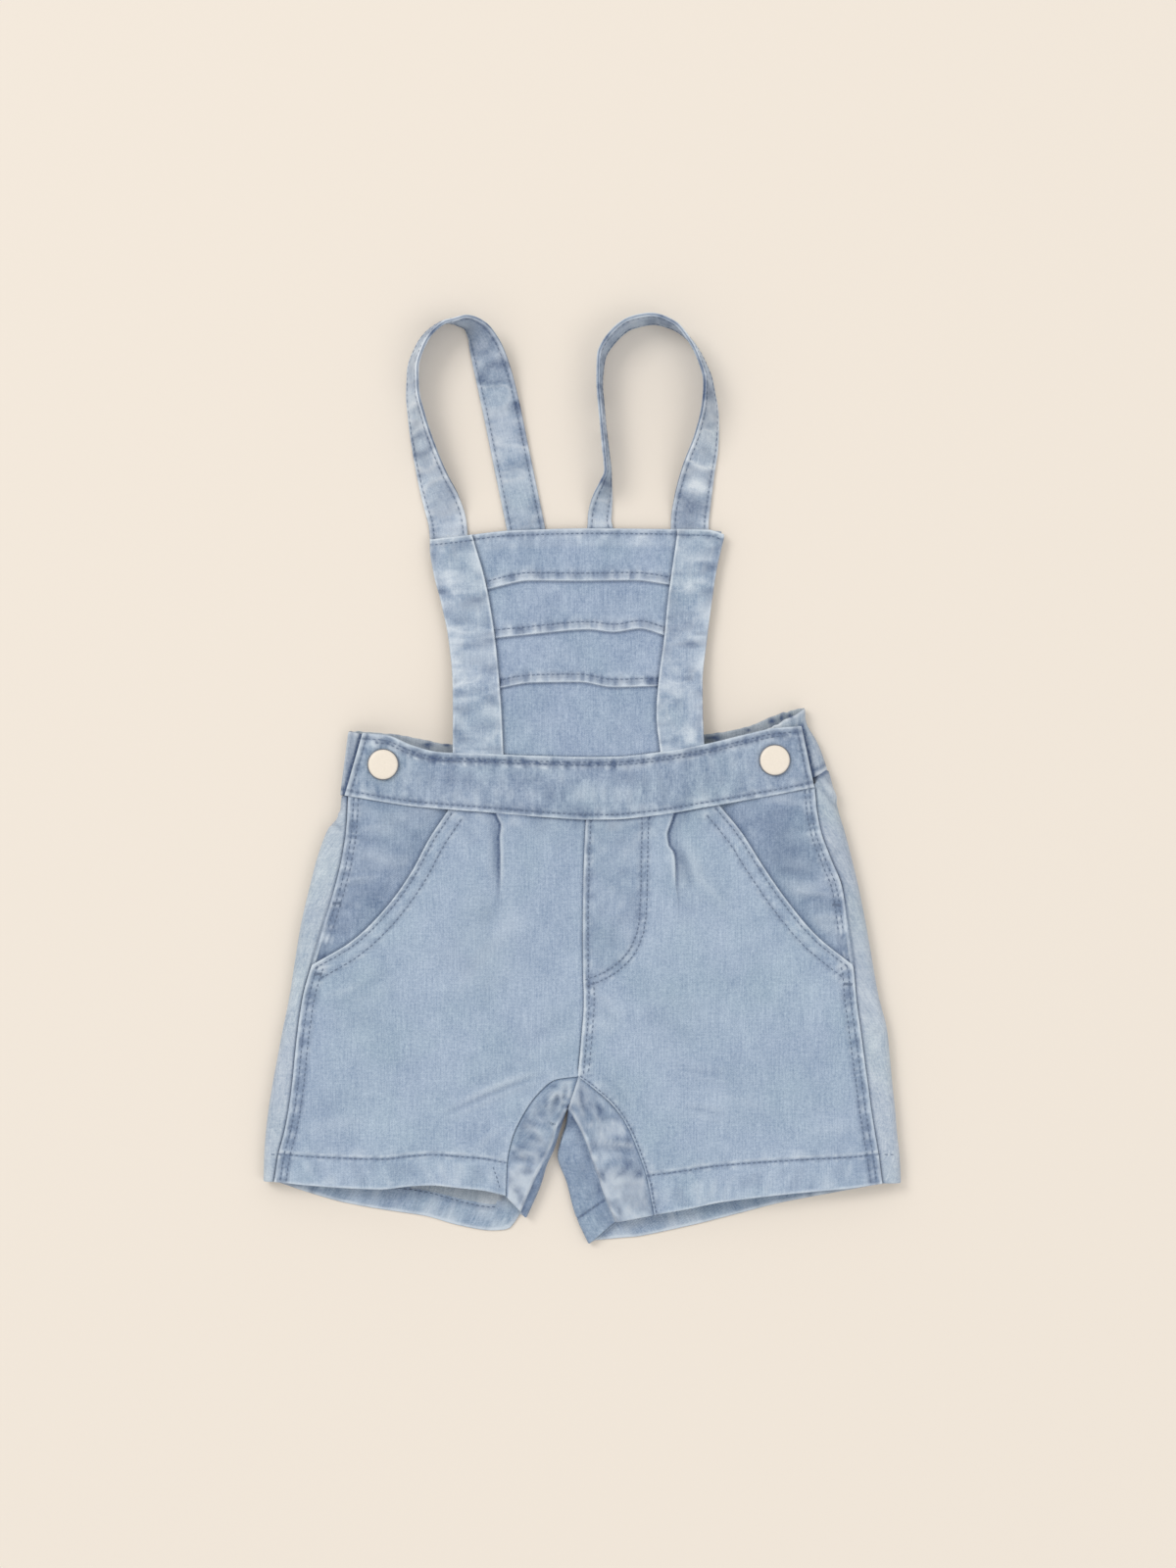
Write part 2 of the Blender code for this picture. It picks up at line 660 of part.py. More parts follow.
def back(side, material):
    """A back panel: flat on the surface, rolled up at the side and round the inner leg."""
    shares = (0.0, 0.12, 0.36, 0.62, 0.85, 1.0)
    turns = (-62, -30, 0, 30, 62, 90)
    rows = [0, 0.5, 1, 1.5, 2, 3, 4, 5, 6, 7, *np.arange(CROTCH_ROW, SIDE_ROWS + 0.01, 0.5)]
    sign = -1 if side == "left" else 1
    table, hem = SIDES[side], BACK_HEMS[side]
    seam = shifted([side_seam(side, r) for r in rows], sign * SEAM_GAP / 2)
    flat, legs = [], []
    for row, (seam_x, seam_y) in zip(rows, seam):
        fold_x, y = table.read("fold", row), table.read("y", row)
        top = front_height(fold_x, y)
        reach = min(top / 2, 0.75 * abs(seam_x - fold_x))
        middle = fold_x - sign * reach
        if row >= CROTCH_ROW:
            section = leg_section(side, row)
            legs.append(section[::-1])
            inner = section[0][:2]
        else:
            centre = BACK_SEAM.read("x", row) + sign * SEAM_GAP / 2
            inner = (centre, BACK_SEAM.read("y", row))
        line = []
        for share in shares:
            x, flat_y = between((middle, y), inner, share)
            flat_y -= ease(row, 9, 14) * hem.read("drop", share, by="share")
            if row == 0:
                flat_y = back_band_low(x) - 2 * SEAM_GAP
            line.append((x, flat_y, 0.0, 0, -1))
        line[-1] = (inner[0], inner[1], 0.0, 0, -1) if row else line[-1]
        line.reverse()
        shoulder = SHOULDERS[side] * (1 - ease(row, 0, 1.5))
        for turn in turns:
            angle = math.radians(turn)
            x = middle + sign * reach * math.cos(angle)
            z = top / 2 * (1 + math.sin(angle))
            line.append((x, y + shoulder * (0.66 + 0.34 * math.cos(angle)), z, 0, 0))
        for share in (0.5, 1.0):
            x, strip_y = between((middle, y + 0.66 * shoulder), (seam_x, y), share)
            line.append((x, strip_y, front_height(x, strip_y), 0, 1))
        flat.append(line)
    return wall(f"back_{side}", [Sheet(flat), Sheet(legs)], CLOTH, material, facing=-1)


def back_band_low(x):
    """Plan height of the back waistband's lower edge where it lies on the surface."""
    columns = BACK_WAISTBAND.columns
    floor = columns["level"] == 0
    return monotone_curve(columns["x_low"][floor], columns["low"][floor], x)


# ---------------------------------------------------------------- waist
def front_waistband(material):
    """The double band across the front, from one side opening to the other."""
    rows = np.arange(0, WAISTBAND.last + 0.01, 0.5)
    shares = (0.0, 0.06, 0.3, 0.5, 0.7, 0.94, 1.0)
    lifts = (0.0, 0.25, 0.25, 0.3, 0.25, 0.25, 0.0)
    grid = []
    for row in rows:
        low = (WAISTBAND.read("x_low", row), WAISTBAND.read("low", row))
        high = (WAISTBAND.read("x_high", row), WAISTBAND.read("high", row))
        line = []
        for share, lift in zip(shares, lifts):
            x, y = between(low, high, share)
            line.append((x, y, front_height(x, y) + BAND - CLOTH, lift - 0.25, 1))
        grid.append(line)
    return wall("waistband_front", [Sheet(grid)], BAND, material)


def back_waistband(material):
    """The elasticated band: gathered on the surface and round both of its ends."""
    columns = BACK_WAISTBAND.columns
    middle = (columns["x_low"] + columns["x_high"]) / 2
    rise = columns["level"] * (FRONT_RISE - LAYER)
    lengths = np.concatenate([[0], np.cumsum(np.hypot(np.diff(middle), np.diff(rise)))])
    shares = (0.0, 0.35, 0.72, 0.93, 1.0)
    grid = []
    for step in range(2 * GATHERS + 1):
        place = lengths[-1] * step / (2 * GATHERS)
        x_low, low, x_high, high, level = (
            monotone_curve(lengths, column, place) for column in columns.values()
        )
        wave = 1 if step % 2 else -1
        line = []
        for share in shares:
            x, y = between((x_low, low), (x_high, high), share)
            x -= PINCH * ease(x, 104, 114) * bump(share, 0, (0.75, 0), (0.22, 1))
            y += RUFFLE * wave * ease(share, 0.8, 1.0) * strap_clear(x)
            ceiling = front_height(x, y) - CLOTH - LAYER_GAP
            depth = GATHER_DEPTH * ease(share, 0.2, 0.9) if wave > 0 and level > 0.05 else 0.0
            line.append((x, y, level * ceiling, -depth, 0))
        grid.append(line)
    return wall("waistband_back", [Sheet(grid)], BACK_BAND, material, facing=1)


def strap_clear(x):
    """0 where a strap meets the back waistband and 1 away from it."""
    return min(ease(abs(x - STRAPS[s].columns["x"][-1]), 11, 16) for s in STRAPS)


# ---------------------------------------------------------------- bib
def bib_rows():
    """Shares down the bib: its hem, then four rows for each tuck, then down to the waist."""
    rows = [("top", 0.0), ("top", 6.0)]
    for number in range(len(TUCKS)):
        rows += [(number, TUCK_FOLD + 7), (number, TUCK_FOLD + 0.6), (number, TUCK_FOLD)]
        rows += [(number, 0.5), (number, -0.3), (number, -5.0)]
    return rows + [("waist", 14.0), ("waist", 5.0), ("waist", SEAM_GAP)]


def bib_point(start, offset, share):
    """Plan point of the bib on one of its rows at a share of the width between its bands."""
    guess = 60.0
    for _ in range(4):
        left, right = bib_edges(guess)
        x = left + (right - left) * share
        if start == "top":
            guess = BIB_TOP.read("y", x, by="x") - offset
        elif start == "waist":
            guess = waist_top(x) + offset
        else:
            guess = TUCKS[start].read("y", float(np.clip(share, 0, 1)), by="share") + offset
    return x, guess


def bib_edges(y):
    """The plan x of the two bands' inner edges at a height in plan."""
    column = -BIB.columns["y"]
    left = monotone_curve(column, BIB.columns["left_band"], -y)
    right = monotone_curve(column, BIB.columns["right_band"], -y)
    return left, right


def bib_outer(y, side):
    """The plan x of a band's outer edge."""
    return monotone_curve(-BIB.columns["y"], BIB.columns[side], -y)


def bib_line(start, offset):
    """Points across the bib on a row, as (x, y): two under each band, and those between."""
    middle = [bib_point(start, offset, s) for s in (0, 0.14, 0.28, 0.42, 0.56, 0.7, 0.85, 1)]
    left_y, right_y = middle[0][1], middle[-1][1]
    left, right = (bib_outer(left_y, "left"), left_y), (bib_outer(right_y, "right"), right_y)
    line = [left, between(left, middle[0], 0.5), *middle, between(right, middle[-1], 0.5), right]
    if start == "top":
        return [(x, BIB_TOP.read("y", x, by="x") - offset) for x, _ in line]
    if start == "waist":
        return [(x, waist_top(x) + offset) for x, _ in line]
    return line


def tuck_lift(start, offset):
    """How far a row of the bib is raised by its tuck."""
    if start in ("top", "waist"):
        return 0.0
    return {TUCK_FOLD: 0.5, 0.5: TUCK_DEPTH}.get(offset, 0.0)


def bib(material):
    """The bib's panel, with three tucks across it."""
    grid = []
    for start, offset in bib_rows():
        lift = tuck_lift(start, offset)
        line = []
        for k, (x, y) in enumerate(bib_line(start, offset)):
            open_cloth = 2 < k < 9
            line.append((x, y, bib_height(x, y), lift if open_cloth else lift * 0.1, 1))
        grid.append(line)
    return wall("bib", [Sheet(grid)], CLOTH, material)


def bib_band(side, material):
    """The band down one side of the bib, laid on the panel's own points."""
    grid = []
    for start, offset in bib_rows():
        line = bib_line(start, offset)
        points = line[:3] if side == "left" else line[-3:]
        lift = 0.3 * tuck_lift(start, offset)
        grid.append([(x, y, bib_height(x, y) + LAYER + 0.2, lift, 1) for x, y in points])
    return wall(f"bib_band_{side}", [Sheet(grid)], CLOTH, material)


# ---------------------------------------------------------------- straps
def strap(side, material):
    """A strap swept along its loop, its edge on the surface wherever it turns over."""
    table = STRAPS[side]
    columns = [table.columns[c] for c in ("x", "y", "roll", "width")]
    steps = np.hypot(np.diff(columns[0]), np.diff(columns[1]))
    steps += STRAP_TWIST * np.abs(np.diff(columns[2]))
    lengths = np.concatenate([[0], np.cumsum(steps)])
    outward = 1 if side == "left" else -1
    rings = []
    for place in np.linspace(0, lengths[-1], STRAP_STATIONS):
        x, y, roll, width = (monotone_curve(lengths, c, place) for c in columns)
        ahead = [monotone_curve(lengths, c, place + 1.0) for c in columns[:2]]
        behind = [monotone_curve(lengths, c, place - 1.0) for c in columns[:2]]
        along = np.subtract(ahead, behind)
        along = along / np.linalg.norm(along)
        across = np.array([-along[1], along[0], 0.0]) * outward
        turn = math.radians(roll)
        up = np.array([0.0, 0.0, 1.0])
        face = up * math.cos(turn) + across * math.sin(turn)
        wide = across * math.cos(turn) - up * math.sin(turn)
        half, thin, cut = width / 2, STRAP / 2, STRAP_CHAMFER
        profile = (
            (-half, -thin + cut), (-half, thin - cut), (-half + cut, thin), (0, thin),
            (half - cut, thin), (half, thin - cut), (half, -thin + cut), (half - cut, -thin),
            (0, -thin), (-half + cut, -thin),
        )
        ring = np.array([wide * a + face * b for a, b in profile])
        ring[:, 2] -= ring[:, 2].min()
        ring[:, :2] += (x, y)
        rings.append(ring)
    return tube(f"strap_{side}", rings, material)


def tube(name, rings, material):
    """A closed solid through rings of the same number of points, with flat ends."""
    around = len(rings[0])
    faces = []
    for k in range(len(rings) - 1):
        for j in range(around):
            a, b = k * around + j, k * around + (j + 1) % around
            faces.append((a, b, b + around, a + around))
    last = (len(rings) - 1) * around
    faces.append(tuple(range(around))[::-1])
    faces.append(tuple(last + j for j in range(around)))
    made = solid(name, np.vstack(rings), faces, material)
    face_out(made)
    return made


def face_out(made):
    """Turns a closed mesh's faces outwards."""
    shape = bmesh.new()
    shape.from_mesh(made.data)
    bmesh.ops.recalc_face_normals(shape, faces=shape.faces)
    shape.to_mesh(made.data)
    shape.free()


# ---------------------------------------------------------------- buttons
def button(side, material):
    """A flat-topped button with a raised rim, turned about its own axis."""
    x, y = BUTTONS[side]
    floor = front_height(x, y) + BAND - CLOTH + LAYER_GAP + 0.05
    rim = BUTTON_RADIUS - BUTTON_RIM
    profile = (
        (0.0, 0.0), (rim, 0.0), (BUTTON_RADIUS - 0.3, 0.5), (BUTTON_RADIUS, 1.3),
        (BUTTON_RADIUS - 0.5, BUTTON_HEIGHT - 0.3), (rim, BUTTON_HEIGHT),
        (rim - 0.8, BUTTON_HEIGHT - 0.5), (0.0, BUTTON_HEIGHT - 0.4),
    )
    shape = bmesh.new()
    points = [shape.verts.new((r * MILLIMETRE, 0, h * MILLIMETRE)) for r, h in profile]
    edges = [shape.edges.new(pair) for pair in zip(points, points[1:])]
    bmesh.ops.spin(shape, geom=points + edges, cent=(0, 0, 0), axis=(0, 0, 1),
                   angle=math.tau, steps=BUTTON_SIDES)
    bmesh.ops.remove_doubles(shape, verts=shape.verts, dist=1e-6)
    bmesh.ops.recalc_face_normals(shape, faces=shape.faces)
    mesh = bpy.data.meshes.new(f"button_{side}")
    shape.to_mesh(mesh)
    shape.free()
    mesh.materials.append(material)
    mesh.shade_smooth()
    mesh.set_sharp_from_angle(angle=SHARP)
    made = bpy.data.objects.new(f"button_{side}", mesh)
    made.location = (x * MILLIMETRE, y * MILLIMETRE, floor * MILLIMETRE)
    bpy.context.scene.collection.objects.link(made)
    return made


# ---------------------------------------------------------------- materials
def finish(name, colour, roughness, metallic=0.0):
    material = bpy.data.materials.new(name)
    material.use_nodes = True
    shader = material.node_tree.nodes["Principled BSDF"]
    shader.inputs["Base Color"].default_value = (*colour, 1)
    shader.inputs["Roughness"].default_value = roughness
    shader.inputs["Metallic"].default_value = metallic
    return material


def build():
    for old in list(bpy.data.objects):
        bpy.data.objects.remove(old)
    denim = finish("light washed denim", (0.39, 0.50, 0.66), 0.9)
    pale = finish("paler washed denim", (0.45, 0.55, 0.69), 0.9)
    enamel = finish("cream enamel", (0.87, 0.82, 0.76), 0.35)
    for side in ("left", "right"):
        back(side, pale)
        front(side, denim)
        pocket_facing(side, denim)
        bib_band(side, pale)
        strap(side, pale)
        button(side, enamel)
    front_waistband(denim)
    back_waistband(pale)
    bib(denim)


build()
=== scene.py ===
"""Looks of the baby's short denim overalls: their cloth, sewing, creases and rubbing, and the light and shade
painted into the cloth's colour.

Each piece of cloth is worked on the form of its solid in the frame.  The tables below are
the garment's own lines, in millimetres, and become metres where a mesh is made.
"""

import math

import bpy
import numpy as np
from mathutils.bvhtree import BVHTree
from mathutils.kdtree import KDTree
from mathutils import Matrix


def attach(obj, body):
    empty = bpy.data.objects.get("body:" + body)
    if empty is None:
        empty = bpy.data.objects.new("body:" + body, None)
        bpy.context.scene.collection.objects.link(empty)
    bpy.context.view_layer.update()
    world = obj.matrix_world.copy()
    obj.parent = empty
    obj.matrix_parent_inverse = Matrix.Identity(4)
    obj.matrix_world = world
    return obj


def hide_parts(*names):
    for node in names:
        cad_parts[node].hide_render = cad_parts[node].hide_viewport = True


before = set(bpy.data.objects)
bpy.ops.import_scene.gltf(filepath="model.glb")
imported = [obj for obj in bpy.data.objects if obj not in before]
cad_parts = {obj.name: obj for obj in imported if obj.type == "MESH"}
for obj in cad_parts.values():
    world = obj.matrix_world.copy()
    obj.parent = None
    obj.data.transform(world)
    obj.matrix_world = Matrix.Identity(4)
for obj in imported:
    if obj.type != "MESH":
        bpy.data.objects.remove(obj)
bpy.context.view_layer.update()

MILLIMETRE = 0.001

# ---------------------------------------------------------------- the garment's sizes
CLOTH = 1.2              # one layer of washed denim, with the room it takes
BAND = 2.4               # a band sewn double
STRAP = 2.0
SEAM_GAP = 0.36
LAYER_GAP = 0.35
LAYER = CLOTH + LAYER_GAP
FRONT_RISE = 9.0         # outer face of the fronts above the surface
WAIST_RISE = 1.1
HALF_WAIST = 116.0
BIB_RISE = 3.8
PLEAT_DEPTH = 1.5
TUCK_DEPTH = 1.3
TUCK_FOLD = 4.2          # from a tuck's stitching to its folded edge
POCKET_UNDERLAP = 6.0
ROLL_TOE = 3.8
LIP_RISE = 4.6
BUTTON_RADIUS = 8.0

DENIM = 0.9              # the cloth itself
HEM_DEPTH = 13.5
TUCKED_UNDER = 1.5       # how far an edge goes under the edge that covers it
NEAR_EDGE = np.array([0, 0.08, 0.22, 0.45, 0.75, 1.1, 1.6, 2.2, 3.0, 4.0])
GRAIN = 1.25             # spacing of the points across open cloth


# ---------------------------------------------------------------- lines
class Table:
    """Rows with named columns.  A column is read on a smooth curve through the rows."""

    def __init__(self, columns, *rows):
        values = np.array(rows, float)
        self.columns = {name: values[:, k] for k, name in enumerate(columns.split())}
        self.last = len(rows) - 1

    def read(self, name, place, by=None):
        values = self.columns[name]
        places = np.arange(len(values), dtype=float) if by is None else self.columns[by]
        return smooth_curve(places, values, place)

    def line(self, place, x="x", y="y"):
        return np.stack([self.read(x, place), self.read(y, place)], -1)


def smooth_curve(places, values, at):
    """A cubic curve through the values that doesn't swing past them."""
    at = np.clip(np.asarray(at, float), places[0], places[-1])
    steps = np.diff(places)
    wide = steps.reshape((-1,) + (1,) * (values.ndim - 1))
    slopes = np.diff(values, axis=0) / wide
    tangents = np.zeros_like(values)
    tangents[0], tangents[-1] = slopes[0], slopes[-1]
    product, total = slopes[:-1] * slopes[1:], slopes[:-1] + slopes[1:]
    same = product > 0
    tangents[1:-1] = np.where(same, 2 * product / np.where(same, total, 1), 0)
    k = np.clip(np.searchsorted(places, at) - 1, 0, len(steps) - 1)
    t = (at - places[k]) / steps[k]
    t = t.reshape(t.shape + (1,) * (values.ndim - 1))
    run = wide[k] if values.ndim > 1 else steps[k]
    start = (1 + 2 * t) * (1 - t) ** 2 * values[k] + t * (1 - t) ** 2 * run * tangents[k]
    end = t * t * (3 - 2 * t) * values[k + 1] - t * t * (1 - t) * run * tangents[k + 1]
    return start + end


def ease(value, start, stop):
    """0 before start, 1 after stop, and smooth between them."""
    share = np.clip((np.asarray(value, float) - start) / (stop - start), 0, 1)
    return share * share * (3 - 2 * share)


def bump(x, y, centre, spread):
    return np.exp(-(((x - centre[0]) / spread[0]) ** 2) - ((y - centre[1]) / spread[1]) ** 2)


def unit(vectors):
    return vectors / np.maximum(np.linalg.norm(vectors, axis=-1, keepdims=True), 1e-9)


def chance(cell, across, seed):
    """The same number from 0 to 1 each time for a cell of a grid."""
    raw = np.sin(cell * 127.1 + across * 311.7 + seed * 74.7) * 43758.5453
    return raw - np.floor(raw)


def ripple(u, v=0.0, seed=0):
    """Smooth uneven waves from -1 to 1, about one to each unit of u and v."""
    u, v = np.broadcast_arrays(np.asarray(u, float), np.asarray(v, float))
    cell, across = np.floor(u), np.floor(v)
    a, b = u - cell, v - across
    a, b = a * a * (3 - 2 * a), b * b * (3 - 2 * b)
    low = chance(cell, across, seed) * (1 - a) + chance(cell + 1, across, seed) * a
    high = chance(cell, across + 1, seed) * (1 - a) + chance(cell + 1, across + 1, seed) * a
    return 2 * (low * (1 - b) + high * b) - 1


def beside(points, gap):
    """A plan line moved to its left by gap."""
    along = unit(np.gradient(points, axis=0))
    gap = np.broadcast_to(gap, len(points))[:, None]
    return points + np.stack([-along[:, 1], along[:, 0]], 1) * gap


def run_of(points):
    """How far along a line each of its points is."""
    return np.concatenate([[0], np.cumsum(np.linalg.norm(np.diff(points, axis=0), axis=1))])


def evenly(points, step):
    """A line again, with its points a step apart."""
    run = run_of(points)
    places = np.linspace(0, run[-1], max(int(run[-1] / step), 2) + 1)
    return np.stack([np.interp(places, run, points[:, k]) for k in range(points.shape[1])], 1)


def nearest_on(line, places):
    """Distance of each place from a plan line, how far along it that is, and its side."""
    best = np.full(len(places), np.inf)
    along, side = np.zeros(len(places)), np.ones(len(places))
    run = run_of(line)
    for k, step in enumerate(np.diff(line, axis=0)):
        gap = places - line[k]
        share = np.clip(gap @ step / max(step @ step, 1e-9), 0, 1)
        gap = gap - share[:, None] * step
        distance = np.hypot(gap[:, 0], gap[:, 1])
        closer = distance < best
        best[closer] = distance[closer]
        along[closer] = (run[k] + share * (run[k + 1] - run[k]))[closer]
        side[closer] = np.sign(step[0] * gap[:, 1] - step[1] * gap[:, 0])[closer]
    return best, along, side


def stations(stops, length, step):
    """Places along a run, close together beside each stop.  length is that of one unit."""
    near = NEAR_EDGE / length
    places = []
    for start, end in zip(stops, stops[1:]):
        count = max(int(((end - start) * length - 2 * NEAR_EDGE[-1]) / step), 2)
        inside = np.linspace(start + near[-1], end - near[-1], count + 1)[1:-1]
        places += [start + near, inside, end - near[:0:-1]]
    return np.concatenate([*places, [stops[-1]]])


def columns(stops, counts):
    """Places across every row in millimetres, close together beside each stop."""
    places = []
    for start, end, count in zip(stops, stops[1:], counts):
        start, room = start[:, None], (end - start)[:, None]
        near = NEAR_EDGE * np.minimum(1, 0.35 * room / NEAR_EDGE[-1])
        inside = near[:, -1:] + (room - 2 * near[:, -1:]) * np.linspace(0, 1, count + 1)[1:-1]
        places += [start + near, start + inside, start + room - near[:, :0:-1]]
    return np.hstack([*places, np.asarray(stops[-1])[:, None]])


# ---------------------------------------------------------------- the garment's lines
SIDES = {
    "left": Table(
        "y fold seam",
        (-9.5, -122.9, -119.0), (-17.5, -123.9, -119.4), (-26.0, -130.0, -120.0),
        (-40.0, -135.3, -122.2), (-55.0, -139.2, -125.8), (-74.0, -143.6, -131.6),
        (-94.8, -147.0, -137.8), (-110.4, -149.4, -142.0), (-128.2, -153.0, -144.7),
        (-142.0, -155.6, -146.2), (-155.0, -158.0, -147.5), (-168.0, -160.1, -149.3),
        (-180.0, -161.5, -151.6), (-190.5, -162.3, -154.4), (-204.6, -162.7, -156.6)),
    "right": Table(
        "y fold seam",
        (-5.5, 125.0, 117.4), (-15.0, 129.2, 118.3), (-27.0, 133.2, 120.6),
        (-40.0, 136.6, 125.4), (-55.0, 140.2, 131.2), (-74.0, 144.0, 134.2),
        (-94.8, 147.6, 137.1), (-110.4, 150.4, 138.4), (-128.2, 154.8, 140.8),
        (-142.0, 156.2, 142.6), (-155.0, 157.4, 144.4), (-168.0, 158.8, 146.1),
        (-180.0, 159.8, 148.0), (-190.5, 161.0, 149.8), (-205.4, 161.8, 151.7)),
}
SHOULDERS = {"left": 0.6, "right": 9.2}
TOP_TUCK = {"left": 4.0, "right": 7.5}
SIDE_ROWS = 14
CROTCH_ROW = 8
POCKET_ROW = 6
HEM_ROW = 13
POCKETS = {
    "left": Table("x y", (-68.7, -16.0), (-78.0, -30.0), (-87.7, -48.0), (-100.6, -65.8),
                  (-117.2, -82.0), (-138.5, -94.8)),
    "right": Table("x y", (69.4, -13.4), (80.5, -27.0), (91.0, -43.5), (103.4, -61.4),
                   (118.4, -79.2), (137.5, -94.8)),
}
CENTRE_SEAM = Table("x y", (1.6, -20.9), (0.9, -35.0), (0.3, -55.0), (0.1, -75.0),
                    (0.2, -95.0), (0.6, -113.0), (-0.6, -131.0), (-2.4, -151.0))
INSEAMS = {
    "left": Table("x y", (-2.4, -151.0), (-14.0, -152.6), (-23.0, -159.5), (-30.8, -170.5),
                  (-36.5, -183.0), (-38.9, -195.0), (-39.6, -211.6)),
    "right": Table("x y", (-2.4, -151.0), (6.5, -157.8), (15.2, -165.6), (22.5, -176.0),
                   (28.0, -188.6), (32.4, -201.5), (36.5, -221.5)),
}
FRONT_POCKET_ROW = 5
FRONT_CROTCH_ROW = 7
FRONT_HEM_ROW = 12
FRONT_LAST_ROW = 13
INNER_LEGS = {
    "left": Table(
        "fold_x fold_y lip_x lip_y",
        (-7.6, -166.4, -7.6, -167.0), (-10.8, -172.2, -10.0, -173.6),
        (-13.6, -177.5, -12.5, -181.5), (-15.2, -184.0, -14.9, -189.0),
        (-19.6, -193.4, -18.4, -196.5), (-24.9, -203.6, -21.4, -206.5),
        (-31.5, -219.0, -28.8, -223.4)),
    "right": Table(
        "fold_x fold_y lip_x lip_y",
        (-7.6, -166.4, -7.6, -167.0), (-4.2, -172.6, -8.6, -174.8),
        (0.2, -181.0, -11.0, -182.9), (3.8, -191.0, -13.0, -192.4),
        (7.6, -202.0, -8.4, -205.6), (11.6, -213.4, -4.2, -221.4),
        (16.5, -225.4, 2.7, -236.8)),
}
BACK_SEAM = Table("x y", (1.0, -13.2), (1.0, -32.0), (0.8, -51.0), (0.6, -70.0),
                  (0.4, -89.0), (0.0, -108.0), (-1.2, -128.0), (-4.0, -148.0), (-6.8, -164.0))
FRONT_HEMS = {
    "left": Table("share drop", (0, 0), (0.15, 0.8), (0.3, 1.0), (0.45, 0.6), (0.6, -2.2),
                  (0.7, -3.2), (0.8, -2.6), (0.9, -2.0), (1, 0)),
    "right": Table("share drop", (0, 0), (0.1, 0.3), (0.3, -0.7), (0.5, -1.6), (0.7, -1.9),
                   (0.85, -0.7), (1, 0)),
}
BACK_HEMS = {
    "left": Table("share drop", (0, 0), (0.15, 3.8), (0.3, 6.4), (0.45, 7.2), (0.6, 7.4),
                  (0.75, 9.9), (0.85, 10.6), (0.95, 8.6), (1, 0.4)),
    "right": Table("share drop", (0, 0), (0.2, -0.4), (0.36, -0.6), (0.52, 0.7), (0.68, 2.0),
                   (0.84, 2.4), (0.92, 1.2), (1, 0)),
}
WAISTBAND = Table(
    "x_low low x_high high",
    (-121.0, -8.3, -111.9, 23.4), (-105.5, -11.0, -100.0, 22.4), (-88.8, -13.6, -86.0, 17.0),
    (-72.0, -15.2, -72.0, 13.7), (-49.8, -16.9, -50.0, 13.0), (-27.5, -18.8, -27.5, 12.0),
    (2.5, -20.7, 2.5, 11.3), (15.5, -20.6, 15.5, 11.4), (38.4, -18.4, 38.4, 13.7),
    (61.4, -14.5, 61.4, 17.7), (84.4, -10.5, 82.0, 22.6), (107.3, -6.2, 98.0, 26.0),
    (117.4, -4.2, 110.8, 26.9))
BACK_WAISTBAND = Table(
    "x_low low x_high high level",
    (-88.0, -8.4, -86.0, 14.0, 1.0), (-102.0, -7.8, -98.0, 19.6, 1.0),
    (-119.4, -8.2, -115.6, 23.6, 1.0), (-122.5, -8.2, -118.6, 24.2, 0.854),
    (-123.7, -8.3, -119.8, 24.4, 0.5), (-122.5, -8.4, -118.6, 24.4, 0.146),
    (-119.4, -8.6, -115.6, 24.4, 0.0), (-100.0, -9.4, -96.0, 22.8, 0.0),
    (-62.0, -11.0, -62.0, 17.4, 0.0), (-30.0, -12.0, -30.0, 19.0, 0.0),
    (0.0, -12.0, 0.0, 20.6, 0.0), (30.0, -11.0, 30.0, 21.2, 0.0),
    (60.0, -8.0, 60.0, 22.6, 0.0), (86.0, -4.6, 82.0, 26.2, 0.0),
    (104.0, -2.0, 96.0, 31.6, 0.0), (119.6, 1.2, 109.0, 35.6, 0.0),
    (123.0, 3.4, 112.4, 36.2, 0.146), (124.4, 4.6, 114.0, 36.2, 0.5),
    (123.0, 3.6, 112.6, 35.4, 0.854), (119.4, 1.6, 109.0, 33.2, 1.0),
    (104.0, -3.0, 99.0, 28.6, 1.0), (86.0, -7.6, 84.0, 19.8, 1.0))
GATHERS = 60
GATHER_DEPTH = 0.7
RUFFLE = 0.7
PINCH = 2.4
BIB = Table(
    "y left left_band right_band right",
    (124.0, -77.6, -56.4, 47.8, 71.4), (118.5, -77.6, -54.8, 47.0, 70.2),
    (105.0, -75.8, -50.8, 45.0, 67.4), (90.0, -72.0, -47.6, 43.0, 65.2),
    (71.5, -68.2, -44.8, 41.2, 62.8), (48.5, -66.0, -42.5, 38.2, 60.4),
    (33.0, -65.8, -41.4, 37.2, 60.5), (12.0, -65.8, -40.4, 39.4, 61.2))
BIB_TOP = Table("x y", (-77.0, 122.0), (-58.0, 124.3), (-37.0, 126.6), (2.7, 127.7),
                (45.5, 127.3), (64.0, 126.9), (71.6, 124.6))
TUCKS = (
    Table("share y", (0, 96.4), (0.25, 100.9), (0.5, 100.7), (0.8, 101.0), (1, 98.8)),
    Table("share y", (0, 71.6), (0.25, 73.8), (0.55, 76.0), (0.7, 74.7), (0.85, 76.4), (1, 73.0)),
    Table("share y", (0, 46.2), (0.2, 48.8), (0.5, 49.2), (0.72, 46.6), (1, 47.2)),
)
